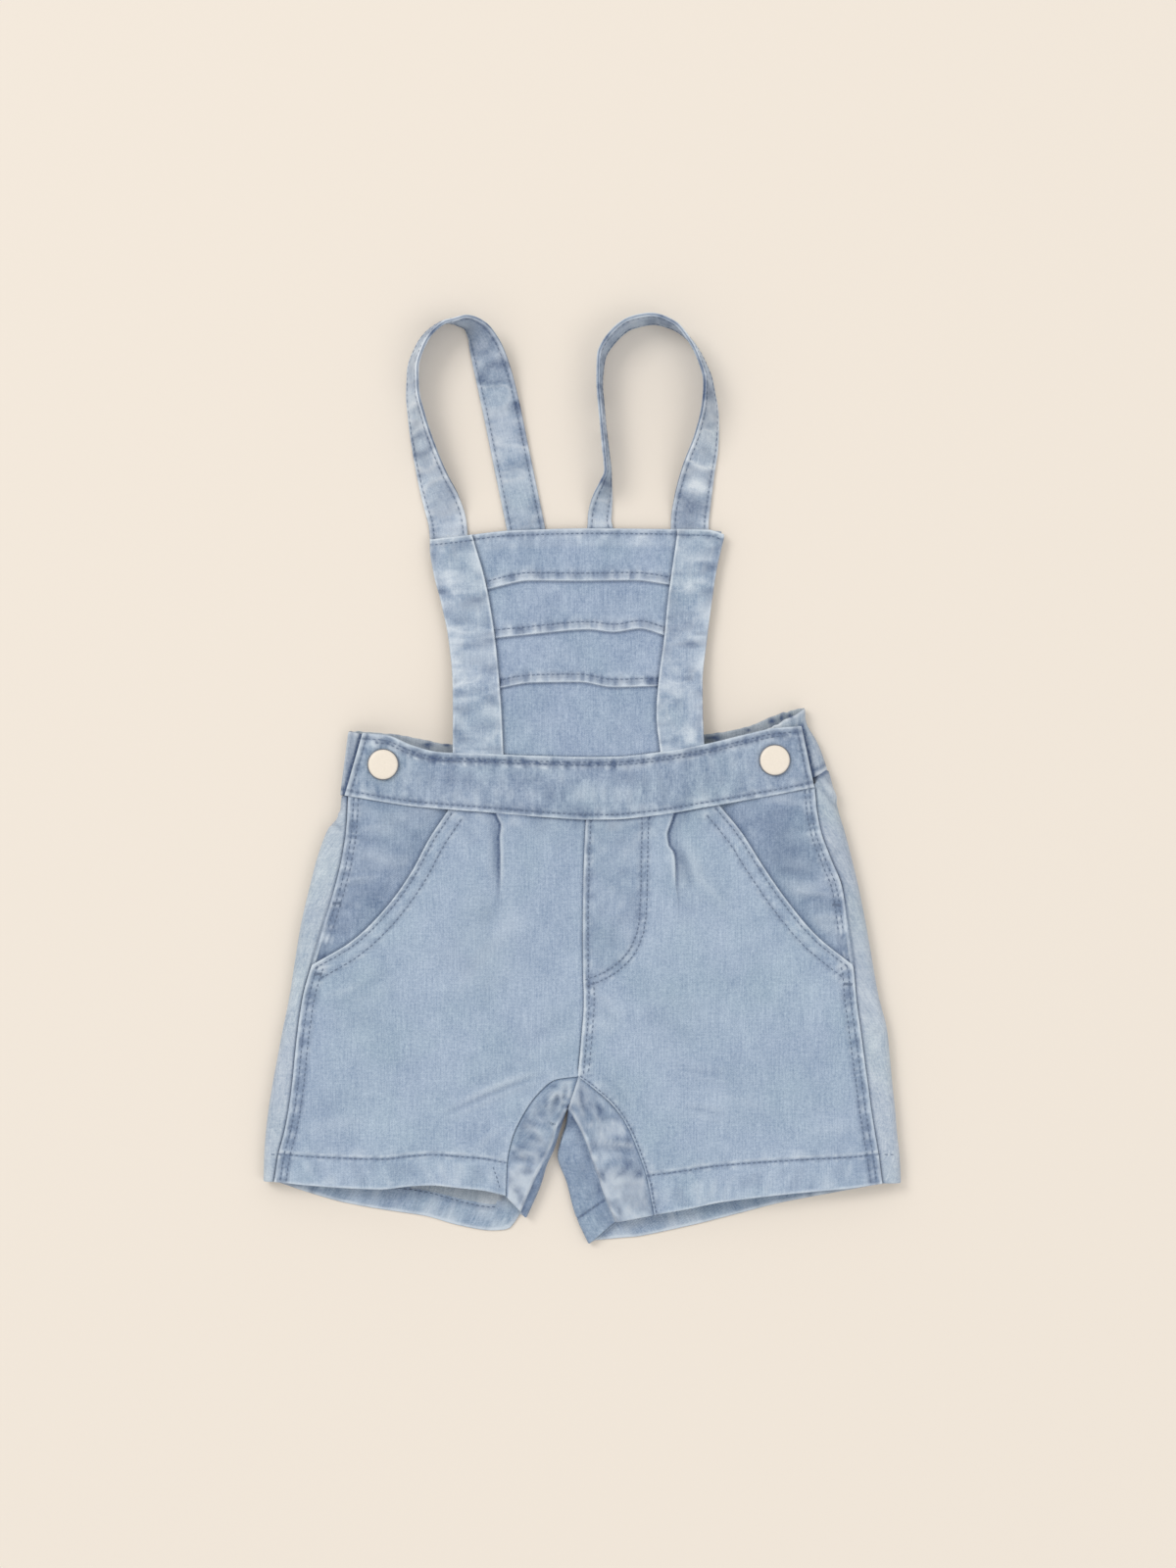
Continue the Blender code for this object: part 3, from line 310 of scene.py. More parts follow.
STRAPS = {
    "left": Table(
        "x y roll width",
        (-67.8, 113.0, 0, 19.5), (-69.0, 129.5, 0, 19.5), (-71.8, 140.0, 15, 19.5),
        (-75.9, 151.0, 36, 19.5), (-80.4, 166.0, 52, 19.5), (-84.4, 183.0, 64, 19.5),
        (-86.6, 198.0, 72, 19.5), (-86.4, 208.0, 74, 19.5), (-83.0, 219.0, 76, 19.5),
        (-77.0, 227.6, 79, 19.5), (-68.6, 232.4, 84, 19.5), (-60.4, 232.0, 101, 19.5),
        (-53.8, 227.4, 124, 19.5), (-49.6, 219.0, 146, 19.5), (-45.9, 207.0, 162, 19.5),
        (-41.9, 190.0, 174, 19.5), (-36.8, 165.0, 178, 19.5), (-29.6, 130.0, 180, 19.5),
        (-21.6, 90.0, 180, 19.5), (-15.4, 50.0, 180, 19.5), (-13.6, 22.2, 180, 19.5)),
    "right": Table(
        "x y roll width",
        (54.6, 114.0, 0, 19.5), (54.4, 129.5, 0, 19.5), (55.8, 142.0, 13, 19.5),
        (58.5, 156.0, 30, 19.5), (62.6, 172.5, 50, 19.5), (64.4, 188.5, 66, 19.5),
        (63.6, 201.5, 77, 19.5), (59.6, 213.6, 81, 19.5), (53.4, 223.8, 85, 19.5),
        (45.4, 230.6, 93, 19.5), (35.0, 233.6, 97, 19.5), (24.6, 231.6, 99, 19.5),
        (15.0, 224.4, 100, 19.5), (9.2, 214.0, 98, 19.5), (8.4, 202.0, 95, 19.5),
        (9.6, 186.0, 95, 19.5), (11.4, 168.0, 96, 19.5), (12.6, 156.0, 98, 18.0),
        (11.6, 150.0, 110, 15.4), (10.2, 144.0, 134, 13.2), (9.0, 138.0, 160, 12.2),
        (8.4, 132.0, 180, 12.2), (9.4, 118.0, 180, 17.0), (11.0, 90.0, 180, 19.5),
        (13.0, 50.0, 180, 19.5), (14.4, 22.6, 180, 19.5)),
}
BUTTONS = {"left": (-101.4, 7.4), "right": (97.2, 9.6)}


# ---------------------------------------------------------------- heights
def front_height(x, y):
    """Height of the front's outer face above the surface, without seams and pleats."""
    ends = WAIST_RISE * (x / HALF_WAIST) ** 2 * np.exp(-(((y - 6) / 60) ** 2))
    sag = 0.9 * (bump(x, y, (-80, -110), (42, 55)) + bump(x, y, (78, -115), (42, 55)))
    left_mouth = 1.9 * bump(x, y, (-74, -208), (34, 26))
    right_mouth = 1.0 * bump(x, y, (92, -212), (36, 26))
    return FRONT_RISE + ends - sag + left_mouth + right_mouth


def bib_height(x, y):
    at_waist = front_height(x, 12) - LAYER_GAP
    return at_waist + (BIB_RISE - at_waist) * ease(y, 14, 76)


def side_seam(side, row):
    return SIDES[side].line(row, "seam", "y")


def inner_seam(side, row):
    """The front's inner edge at its rows: the centre seam, then the inseam."""
    below = np.asarray(row, float) - FRONT_CROTCH_ROW
    leg = INSEAMS[side].line(below)
    return np.where((below > 0)[..., None], leg, CENTRE_SEAM.line(row))


def pocket_edge(side, row):
    """The front's outer edge at its rows: the pocket's edge, then the side seam."""
    below = np.asarray(row, float) - FRONT_POCKET_ROW
    seam = side_seam(side, below + POCKET_ROW)
    return np.where((below >= 0)[..., None], seam, POCKETS[side].line(row))


def waist_seam(x):
    return WAISTBAND.read("low", x, by="x_low")


def waist_top(x):
    return WAISTBAND.read("high", x, by="x_high")


def back_band_low(x):
    columns = BACK_WAISTBAND.columns
    floor = columns["level"] == 0
    return smooth_curve(columns["x_low"][floor], columns["low"][floor], x)


# ---------------------------------------------------------------- cloth
class Cloth:
    """A piece of cloth on its solid's form, what is folded, pressed and rubbed into it, and the light and
    shade painted into its colour.
    """

    def __init__(self, *sheets, facing=1.0):
        points = np.vstack([s[0].reshape(-1, 3) for s in sheets])
        level = np.concatenate([np.broadcast_to(s[1], s[0].shape[:2]).ravel() for s in sheets])
        weave = np.vstack([s[2].reshape(-1, 2) for s in sheets])
        _, first, index = np.unique(
            np.round(points, 3), axis=0, return_index=True, return_inverse=True)
        index = index.reshape(-1)
        faces, done = [], 0
        for sheet in sheets:
            rows, across = sheet[0].shape[:2]
            grid = index[done:done + rows * across].reshape(rows, across)
            done += rows * across
            faces.append(np.stack([grid[:-1, :-1], grid[:-1, 1:], grid[1:, 1:], grid[1:, :-1]],
                                  -1).reshape(-1, 4))
        self.faces = np.vstack(faces)
        self.points, self.level, self.weave = points[first], level[first], weave[first]
        self.normals = self.facing_of(self.faces)
        if self.normals[self.faces[0][0]][2] * facing < 0:
            self.faces = self.faces[:, ::-1]
            self.normals = -self.normals
        side = np.abs(self.level)[:, None]
        up = np.zeros_like(self.normals)
        up[:, 2] = self.level
        self.normals = unit(self.normals * (1 - side) + up)
        count = len(self.points)
        self.form, self.relief = np.zeros(count), np.zeros(count)
        # Two colour amounts for each point. One lightens it, for real rubbing and also for painted highlights
        # on tops and ridges. The other deepens it, for indigo kept in the cloth and also for painted shade in
        # hollows, in gaps and under edges.
        self.worn, self.dye_and_shade = np.zeros(count), np.zeros(count)
        self.turned, self.wrapped = np.zeros(count, bool), np.zeros(count, bool)
        self.inner_worn, self.inner_dye_and_shade = None, None
        self.plan = self.points[:, :2]
        self.top = self.normals[:, 2] > -0.2

    def facing_of(self, faces):
        a, b, c, d = (self.points[faces[:, k]] for k in range(4))
        area = np.cross(c - a, d - b)
        normals = np.zeros_like(self.points)
        for k in range(4):
            np.add.at(normals, faces[:, k], area)
        return unit(normals)

    def rolled_edge(self, line, height=0.5, width=0.9, at=0.55, rubbing_and_light=1.0, where=1.0, seed=1):
        """A folded edge: a roll beside the line, rubbed pale."""
        distance, along, _ = nearest_on(line, self.plan)
        where = where * self.top
        uneven = 0.75 + 0.25 * ripple(along / 4.0, seed=seed) + 0.2 * ripple(along / 17, seed=seed)
        self.relief += where * height * np.exp(-((distance - at) / width) ** 2)
        rubbed = np.exp(-((distance - at * 0.8) / (width * 0.8)) ** 2)
        self.worn += where * rubbing_and_light * uneven * rubbed
        return distance, along

    def stitch_line(self, line, depth=0.28, width=0.8, groove_shade=0.5, where=1.0, seed=2):
        """The groove that a row of stitching pulls into the cloth, with painted shade along the groove and
        painted light and shade on the small puckers beside it.
        """
        distance, along, _ = nearest_on(line, self.plan)
        where = where * self.top
        pull = 1 + 0.3 * ripple(along / 2.6, seed=seed)
        self.relief -= where * depth * pull * np.exp(-(distance / width) ** 2)
        # Painted shade along the stitching's groove.
        self.dye_and_shade += where * groove_shade * (0.8 + 0.3 * ripple(along / 3.1, seed=seed)) * np.exp(
            -(distance / (width * 0.85)) ** 2)
        # Puckers beside the stitching: their tops are painted lighter and their dips darker, as light and
        # shade.
        ticks = ripple(along / 1.5, seed=seed + 0.5) * np.exp(-((distance - 1.2) / 0.8) ** 2)
        self.worn += where * 0.42 * np.maximum(ticks, 0)
        self.dye_and_shade += where * 0.42 * np.maximum(-ticks, 0)
        self.relief += where * 0.06 * ticks
        return distance, along

    def roping(self, line, start, stop, depth=0.2, pitch=3.6, rubbing_and_light=0.35, where=1.0, seed=3):
        """Uneven waves across a sewn strip between two distances from its edge."""
        distance, along, _ = nearest_on(line, self.plan)
        middle = (start + stop) / 2
        inside = ease(distance, start - 0.8, start + 0.8) * (1 - ease(distance, stop - 0.8, stop + 1.2))
        slant = (distance - middle) * 0.35
        waves = ripple((along + slant) / pitch, distance / 9, seed) * 0.7
        waves += ripple((along - slant) / (pitch * 2.3), distance / 14, seed + 1) * 0.5
        inside = inside * where * self.top
        self.relief += depth * inside * waves
        # Wave tops are painted lighter and troughs darker: this is partly real roping and partly painted
        # light and shade.
        self.worn += rubbing_and_light * inside * np.maximum(waves, 0)
        self.dye_and_shade += rubbing_and_light * 0.8 * inside * np.maximum(-waves, 0)

    def creases(self, table, where=1.0):
        """Listed folds: a depth above 0 is a ridge and below 0 a valley."""
        for number, (x, y, to_x, to_y, bow, depth, width) in enumerate(table):
            start, end = np.array([x, y]), np.array([to_x, to_y])
            share = np.linspace(0, 1, 15)[:, None]
            side = np.array([start[1] - end[1], end[0] - start[0]])
            line = start + (end - start) * share + unit(side) * bow * 4 * share * (1 - share)
            distance, along, flank = nearest_on(line, self.plan)
            length = np.linalg.norm(end - start)
            fade = np.sin(np.pi * np.clip(along / length, 0, 1)) ** 0.6
            uneven = 1 + 0.25 * ripple(along / 6, seed=number)
            profile = np.exp(-(distance / width) ** 2)
            flanks = np.exp(-((distance - 1.9 * width) / (1.2 * width)) ** 2)
            fold = where * self.top * fade * uneven
            self.form += fold * depth * (profile - 0.3 * flanks)
            strength = min(abs(depth), 1.2)
            # Valleys are painted darker as shade, with lighter flanks. Ridges are painted lighter as
            # highlight, with darker flanks.
            if depth < 0:
                self.dye_and_shade += fold * 0.45 * strength * np.exp(-(distance / (0.8 * width)) ** 2)
                self.worn += fold * 0.25 * strength * flanks
            else:
                self.worn += fold * 0.5 * strength * np.exp(-(distance / (0.7 * width)) ** 2)
                self.dye_and_shade += fold * 0.2 * strength * flanks

    def lie_uneven(self, size, depth, seed, where=1.0):
        """The soft unevenness of cloth that was laid down by hand."""
        x, y = self.plan.T
        waves = ripple(x / size, y / (size * 1.3), seed)
        waves = waves + 0.5 * ripple((x + y) / (size * 0.6), (x - y) / (size * 0.8), seed + 5)
        self.form += where * depth * waves
        return waves

    def shell(self, name, thickness, face, reverse, wrapped=None):
        """The finished piece: both faces of the cloth with rounded edges."""
        count = len(self.points)
        rims = rim_edges(self.faces)
        tree = KDTree(len(rims))
        for number, (a, _) in enumerate(rims):
            tree.insert(self.points[a], number)
        tree.balance()
        radius = thickness * 0.5
        near = np.array([tree.find(p)[2] for p in self.points])
        share = np.clip(1 - near / radius, 0, 1)
        rounding = radius * (1 - np.sqrt(np.maximum(1 - share * share, 0)))
        broad = self.form[:, None] * self.normals
        outer = self.points + broad + self.normals * (self.relief - rounding)[:, None]
        inner = self.points + broad - self.normals * (thickness - rounding)[:, None]
        faces = np.vstack([self.faces, self.faces[:, ::-1] + count])
        rim = np.array([(b, a, a + count, b + count) for a, b in rims])
        faces = np.vstack([faces, rim])
        self.outer = outer
        values = {"worn": np.tile(np.clip(self.worn, 0, 1.6), 2),
                  "dye_and_shade": np.tile(np.clip(self.dye_and_shade, 0, 1.6), 2)}
        values["worn"][count:] *= 0.2
        if self.inner_worn is not None:
            values["worn"][count:], values["dye_and_shade"][count:] = self.inner_worn, self.inner_dye_and_shade
        materials = [face, reverse] + ([wrapped] if wrapped else [])
        looks = np.zeros(len(faces), int)
        inside = slice(len(self.faces), 2 * len(self.faces))
        looks[:len(self.faces)] = 2 * self.wrapped[self.faces].all(axis=1)
        looks[inside] = np.where(self.turned[self.faces].all(axis=1), len(materials) - 1, 1)
        made = piece(name, np.vstack([outer, inner]), faces, materials, looks,
                     np.vstack([self.weave, self.weave]), values)
        self.tree = BVHTree.FromPolygons(
            [tuple(p) for p in np.vstack([outer, inner])], [tuple(f) for f in faces])
        return made


def rim_edges(faces):
    """The edges that only one face has, in that face's direction."""
    pairs = np.vstack([faces[:, [k, (k + 1) % 4]] for k in range(4)])
    pairs = pairs[pairs[:, 0] != pairs[:, 1]]
    big = pairs.max() + 1
    forward, backward = pairs[:, 0] * big + pairs[:, 1], pairs[:, 1] * big + pairs[:, 0]
    return pairs[~np.isin(forward, backward)]


def piece(name, points, faces, materials, looks, weave, values):
    """A mesh object in metres, with its weave directions, its rubbing, and the light and shade painted into
    its colour.
    """
    mesh = bpy.data.meshes.new(name)
    clean = []
    for face in faces:
        corners = list(dict.fromkeys(int(k) for k in face))
        clean.append(corners)
    keep = [k for k, corners in enumerate(clean) if len(corners) > 2]
    mesh.from_pydata((points * MILLIMETRE).tolist(), [], [clean[k] for k in keep])
    for material in materials:
        mesh.materials.append(material)
    mesh.polygons.foreach_set("material_index", np.asarray(looks)[keep].astype(np.int32))
    corners = np.empty(len(mesh.loops), np.int32)
    mesh.loops.foreach_get("vertex_index", corners)
    threads = mesh.uv_layers.new(name="weave")
    threads.data.foreach_set("uv", (weave[corners] * MILLIMETRE).astype(np.float32).ravel())
    for label, amounts in values.items():
        mesh.attributes.new(label, "FLOAT", "POINT").data.foreach_set(
            "value", amounts.astype(np.float32))
    mesh.shade_smooth()
    made = bpy.data.objects.new(name, mesh)
    bpy.context.scene.collection.objects.link(made)
    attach(made, "root")
    return made


def level_sheet(plan, height, level=1.0):
    """A sheet over the plan, with the weave straight down the garment."""
    points = np.dstack([plan, height])
    return points, level, plan.copy()


# ---------------------------------------------------------------- creases
# x y to_x to_y bow depth width, in the plan
FRONT_CREASES = {
    "left": (
        (-72, -172, -18, -149.5, 1.5, -0.75, 1.4), (-60, -164, -22, -148, 1.5, 0.45, 3.0),
        (-42, -58, -52, -76, 0, -0.5, 5.0), (-40, -80, -62, -103, -2, -0.45, 6.0),
        (-30, -70, -66, -112, -3, 0.35, 7.0), (-112, -103, -132, -110, 1, 0.5, 2.6),
        (-96, -96, -118, -106, 2, -0.3, 3.0), (-44.5, -22, -43.8, -58, 0, -0.6, 1.4),
        (-128, -128, -100, -122, 2, -0.3, 5.0), (-144, -180, -110, -174, 2, 0.3, 5.0),
        (-56, -190, -40, -176, 1, 0.4, 3.0), (-8, -120, -34, -134, 2, -0.3, 4.0),
        (-60, -24, -54, -34, 0, -0.4, 2.4)),
    "right": (
        (46.5, -32, 55.5, -56, 1, -1.0, 2.6), (51, -43.5, 76.5, -70, 1, 0.4, 2.2),
        (46, -62, 60, -68, 0, -0.4, 3.5), (46, -145.5, 74, -150.5, -1, -0.4, 1.5),
        (51, -166.5, 72, -171, 0, -0.5, 1.4), (60, -160, 96, -168, 1, 0.25, 5.0),
        (4, -155, 20, -174, 1.5, 0.6, 1.8), (8, -150, 25, -168, 1.5, -0.5, 1.8),
        (4, -110, 17, -114, 1, 0.5, 1.8), (4, -116, 20, -124, 1, -0.4, 2.0),
        (5, -123, 16, -130, 1, 0.35, 2.0), (124, -100, 138, -104, 1, 0.5, 2.0),
        (30, -22, 38, -30, 1, 0.5, 2.6), (112, -180, 146, -178, 2, 0.3, 5.0),
        (28, -120, 60, -138, 3, -0.3, 6.0)),
}
FACING_CREASES = {
    "left": (
        (-121, -28, -96, -32, -1, -0.4, 3.0), (-122, -52, -103, -50, 1, 0.6, 1.4),
        (-124, -56, -104, -54.5, 1, -0.5, 1.6), (-125, -62, -112, -66, 1, 0.5, 1.4),
        (-128, -68, -117, -72, -1, -0.4, 1.8), (-118, -40, -94, -44, 2, 0.3, 3.0),
        (-104, -20, -84, -28, 1, -0.3, 3.0)),
    "right": (
        (124, -50, 100, -46, 1, -0.45, 2.4), (128, -58, 108, -56, 1, 0.6, 1.5),
        (130, -62, 112, -62, -1, -0.5, 1.7), (131, -68, 117, -70, 1, 0.45, 1.5),
        (122, -32, 96, -34, 2, -0.3, 3.5), (132, -76, 122, -80, 0, -0.3, 1.6)),
}
LEG_CREASES = {
    "left": (
        (-17.6, -171.5, -9.2, -157.2, 3.4, 1.2, 1.1), (-15.0, -171.0, -7.4, -160.4, 2.6, -1.1, 0.9), (-13.6, -159.5, -13.9, -169.5, 1, -1.1, 1.1),
        (-11.4, -158, -12.4, -167.5, 0.8, 0.8, 1.0), (-8.8, -155, -9.8, -163.5, 0.5, -0.9, 1.0),
        (-11.5, -163.4, -4.6, -164.4, -0.4, 1.0, 1.0), (-18.2, -175, -13.6, -175.4, 0, -1.3, 0.7),
        (-32, -175.5, -19.5, -181.5, 1, 0.8, 1.5), (-31, -180, -17, -187.5, 1, -1.0, 1.8),
        (-38, -187.4, -22.5, -192, 1, 0.7, 1.6), (-37, -192.5, -23.5, -196, 1, -0.8, 1.7),
        (-36, -198, -27, -207, 0, 0.5, 2.6), (-23, -163, -24.5, -173, 1.5, -0.7, 1.8),
        (-27.5, -168, -20, -176.5, 1, 0.5, 1.5), (-39, -203, -30, -213, 0, -0.5, 2.2)),
    "right": (
        (0.2, -154, 3.4, -171.5, -2.6, -1.1, 1.2), (-2.6, -158, 2.4, -172, -1.4, 0.9, 1.1),
        (6.8, -159, 10.4, -171.5, -1.4, -0.9, 1.4), (4.8, -162, 9.2, -175, -1, 0.7, 1.3),
        (2.6, -184.8, 30.4, -187.4, 1.4, 1.1, 1.2), (9.5, -188, 28.6, -191.8, 1.4, -1.0, 1.7),
        (20.5, -192.5, 30, -204, 0, -0.7, 3.0), (9.8, -197, 20.6, -208.5, 0, 0.6, 2.6),
        (14.5, -208.5, 27.5, -205, 0, -0.6, 2.2), (13, -172, 21, -179, 0.6, 0.6, 1.8),
        (3, -176, 14, -181, 0.6, -0.6, 1.6), (18, -214, 33, -211, 0, 0.5, 2.4)),
}
SIDE_CREASES = {
    "left": (
        (-131, -21, -121, -27, 1, -1.0, 1.4), (-128, -17, -121, -18.5, 0, 0.7, 1.3),
        (-134, -62, -127, -66, 0, 0.5, 2.0), (-147, -104, -141, -112, 0, -0.4, 3.0),
        (-156, -150, -149, -156, 0, 0.3, 4.0)),
    "right": (
        (118, 3, 130, -12, 0.5, 0.7, 1.5), (119, -3, 132, -18, 0.5, -0.9, 1.4),
        (124, -40, 134, -34, 0, -0.5, 2.2), (146, -110, 151, -118, 0, 0.5, 2.4),
        (147, -128, 154, -130, 0, -0.4, 3.0)),
}
BIB_CREASES = (
    (-34, 92, -10, 86, 1, -0.2, 5.0), (8, 84, 34, 92, 1, 0.2, 6.0), (-30, 62, 4, 58, 2, 0.2, 7.0),
    (6, 24, 34, 18, 1, -0.25, 5.0), (-36, 24, -8, 30, 1, 0.2, 6.0))


# ---------------------------------------------------------------- fronts
PLEATS = {
    "left": Table("y x", (-62, -43.0), (-54, -42.2), (-40, -42.0), (-30, -42.3), (-24, -41.7),
                  (-20, -43.4), (-16, -45.4)),
    "right": Table("y x", (-62, 48.5), (-54, 47.2), (-42, 46.8), (-37, 46.0), (-33, 43.6),
                   (-27, 42.8), (-22, 44.4), (-16, 46.6)),
}


def pleat_line(side, row):
    outer, inner = pocket_edge(side, row), inner_seam(side, row)
    loose = (outer[:, 0] + inner[:, 0]) / 2
    held = PLEATS[side].read("x", (outer[:, 1] + inner[:, 1]) / 2, by="y")
    return held + (loose - held) * ease(row, 2.6, 7.0)


def front_lines(side):
    """A front's edges and hem as plan lines from the waist down, and along the hem."""
    rows = np.linspace(0, FRONT_LAST_ROW, 80)
    outer, inner = pocket_edge(side, rows), inner_seam(side, rows)
    share = np.linspace(0, 1, 50)
    hem = FRONT_HEMS[side].read("drop", share, by="share")
    foot = outer[-1] + (inner[-1] - outer[-1]) * share[:, None]
    foot = foot - np.stack([0 * share, hem], 1)
    row = np.full(1, float(FRONT_HEM_ROW))
    start, end = pocket_edge(side, row)[0], inner_seam(side, row)[0]
    band = start + (end - start) * share[:, None]
    band = band - np.stack([0 * share, hem * ease(FRONT_HEM_ROW, 8, 13)], 1)
    return {"outer": outer, "inner": inner, "pocket": outer[rows <= FRONT_POCKET_ROW + 0.1],
            "side": outer[rows >= FRONT_POCKET_ROW - 0.1], "hem": foot, "hem_stitch": band,
            "centre": inner[rows <= FRONT_CROTCH_ROW], "inseam": inner[rows >= FRONT_CROTCH_ROW]}


def front_sheet(side):
    sign = -1 if side == "left" else 1
    rows = stations((0, FRONT_HEM_ROW, FRONT_LAST_ROW), 14.5, GRAIN)
    outer, inner = pocket_edge(side, rows), inner_seam(side, rows)
    covered = TUCKED_UNDER if side == "left" else -0.25
    inner[:, 0] += covered * (1 - ease(rows, 6.3, 7.0))
    inner[:, 0] -= sign * 0.3 * ease(rows, 6.3, 7.0)
    outer[:, 0] += sign * 0.3 * ease(rows, 4.8, 5.4)
    width = np.linalg.norm(inner - outer, axis=1)
    fold = (pleat_line(side, rows) - outer[:, 0]) / (inner[:, 0] - outer[:, 0]) * width
    across = columns([0 * width, fold, width], [26, 26])
    share = across / width[:, None]
    plan = outer[:, None] + (inner - outer)[:, None] * share[..., None]
    bowed = waist_seam(plan[..., 0]) - (
        waist_seam(outer[:, 0])[:, None] * (1 - share) + waist_seam(inner[:, 0])[:, None] * share)
    plan[..., 1] += (1 - ease(rows, 0, 2))[:, None] * bowed
    plan[..., 1] -= ease(rows, 8, 13)[:, None] * FRONT_HEMS[side].read("drop", share, by="share")
    plan[0, :, 1] = waist_seam(plan[0, :, 0]) + TUCKED_UNDER
    beyond = across - fold[:, None]
    half = (width - fold)[:, None] * 0.5
    step = ease(beyond, -0.3, 0.3) * np.maximum(1 - np.maximum(beyond, 0) / half, 0)
    step *= PLEAT_DEPTH * (1 - ease(rows, 0.8, 3.6))[:, None]
    height = front_height(plan[..., 0], plan[..., 1]) + step
    return level_sheet(plan, height), plan[:, NEAR_EDGE.size + 26 - 1 + NEAR_EDGE.size - 1]


def fly_line(gap):
    """The mock fly's stitching: straight down beside the centre seam, then round to it."""
    points = np.array([
        (30.0, -19.5), (29.6, -40), (29.2, -60), (28.2, -74), (24.5, -85), (17.5, -93.5),
        (9.0, -99.0), (1.0, -102.0)])
    return beside(evenly(smooth_curve(run_of(points), points, np.linspace(
        0, run_of(points)[-1], 60)), 2.0), gap)


def make_front(side, denim, reverse):
    sign = -1 if side == "left" else 1
    sheet, pleat = front_sheet(side)
    cloth = Cloth(sheet)
    lines = front_lines(side)
    x, y = cloth.plan.T
    seam_gap, _, seam_side = nearest_on(lines["centre"], cloth.plan)
    if side == "left":
        beyond = np.where(x > np.interp(-y, -lines["centre"][:, 1], lines["centre"][:, 0]),
                          seam_gap, -seam_gap)
        cloth.form -= 1.05 * ease(beyond, -1.3, 0.1) * ease(y, -152, -146)
        # Painted shadow of the right front's edge, where the left front goes under it.
        cloth.dye_and_shade += 0.5 * np.exp(-((beyond + 0.6) / 0.8) ** 2) * ease(y, -152, -146)
    else:
        cloth.rolled_edge(lines["centre"], 0.5, 0.8, rubbing_and_light=1.1, seed=11)
        for gap, ends in ((2.4, -152), (5.0, -152)):
            where = ease(-y, 100, 104) if gap > 3 else 1.0
            cloth.stitch_line(beside(lines["centre"], gap), 0.24, groove_shade=0.6, where=where)
        for gap in (0.0, 3.2):
            cloth.stitch_line(fly_line(gap), 0.25, 0.9, groove_shade=0.6)
        fly = fly_line(1.6)
        within = ease(fly[-1, 1] - y, -8, -1)
        reach = np.interp(-y, -fly[:, 1], fly[:, 0])
        inside_fly = (1 - within) * ease(reach - x, -1.0, 1.0)
        pulls = ripple(x / 5.0, y / 4.0, 27) + 0.6 * ripple(x / 2.6, y / 6.0, 28)
        # The mock fly is made darker all over, and its pulls are painted lighter on their tops and darker in
        # their dips, as light and shade.
        cloth.dye_and_shade += inside_fly * (0.16 + 0.22 * np.maximum(-pulls, 0))
        cloth.worn += inside_fly * 0.2 * np.maximum(pulls, 0)
        cloth.form += inside_fly * 0.08 * pulls
        distance, along, _ = nearest_on(fly_line(1.6), cloth.plan)
        cloth.relief += 0.18 * ripple(along / 3.2, seed=9) * np.exp(-(distance / 2.6) ** 2)
        cloth.roping(lines["centre"], 1.0, 6.5, 0.2, 3.4, 0.25, where=ease(-y, 100, 106), seed=21)
    cloth.rolled_edge(lines["pocket"], 0.5, 0.7, rubbing_and_light=0.95, seed=12)
    cloth.rolled_edge(lines["side"], 0.5, 0.9, rubbing_and_light=0.95, seed=13)
    if side == "left":
        cloth.rolled_edge(lines["inseam"], 0.25, 0.9, rubbing_and_light=0.2, seed=14)
    else:
        cloth.rolled_edge(lines["inseam"], 0.1, 0.8, rubbing_and_light=0.12, seed=14)
        cloth.stitch_line(beside(lines["inseam"], 0.9), 0.22, 0.7, groove_shade=0.75)
    cloth.rolled_edge(lines["hem"], 0.35, 1.0, rubbing_and_light=0.8, seed=15)
    for gap in (2.4, 8.2):
        cloth.stitch_line(beside(lines["pocket"], -sign * gap), 0.28, 0.8, groove_shade=0.6)
    for gap in (2.6, 5.6):
        cloth.stitch_line(beside(lines["side"], -sign * gap), 0.28, 0.7, groove_shade=0.6)
    cloth.roping(lines["side"], 0.9, 6.6, 0.36, 3.0, 0.8, seed=16)
    from_side, _, _ = nearest_on(lines["side"], cloth.plan)
    cloth.dye_and_shade += 0.04 * ease(from_side, 1.0, 2.2) * (1 - ease(from_side, 5.4, 7.4))
    cloth.roping(lines["pocket"], 0.8, 3.4, 0.22, 3.0, 0.4, seed=20)
    cloth.roping(lines["pocket"], 3.0, 9.4, 0.16, 4.4, 0.34, seed=17)
    cloth.roping(lines["inseam"], 0.8, 5.0, 0.22, 3.6, 0.35, seed=22)
    cloth.stitch_line(lines["hem_stitch"], 0.38, 0.85, groove_shade=0.85)
    distance, along, flank = nearest_on(lines["hem_stitch"], cloth.plan)
    above = distance * np.where(y > np.interp(x * 0 + x, *sorted_line(lines["hem_stitch"])), 1, -1)
    cloth.worn += 0.5 * np.exp(-((above - 1.5) / 0.7) ** 2) * (0.7 + 0.3 * ripple(along / 5, seed=5))
    cloth.relief += 0.3 * (1 - ease(above, -0.4, 0.4))
    cloth.roping(lines["hem"], 1.6, 12.5, 0.34, 3.4, 0.6, seed=18)
    cloth.roping(lines["hem_stitch"], 0.6, 5.0, 0.2, 3.6, 0.34, where=(above > 0), seed=19)
    fold = beside(pleat, sign * 0.0)
    held = 1 - ease(-y, 42, 58)
    distance, along, _ = nearest_on(fold[fold[:, 1] > -75], cloth.plan)
    inward = (x - np.interp(-y, -fold[:, 1], fold[:, 0])) * -sign
    rubbed = 0.7 + 0.35 * ripple(along / 5, seed=24)
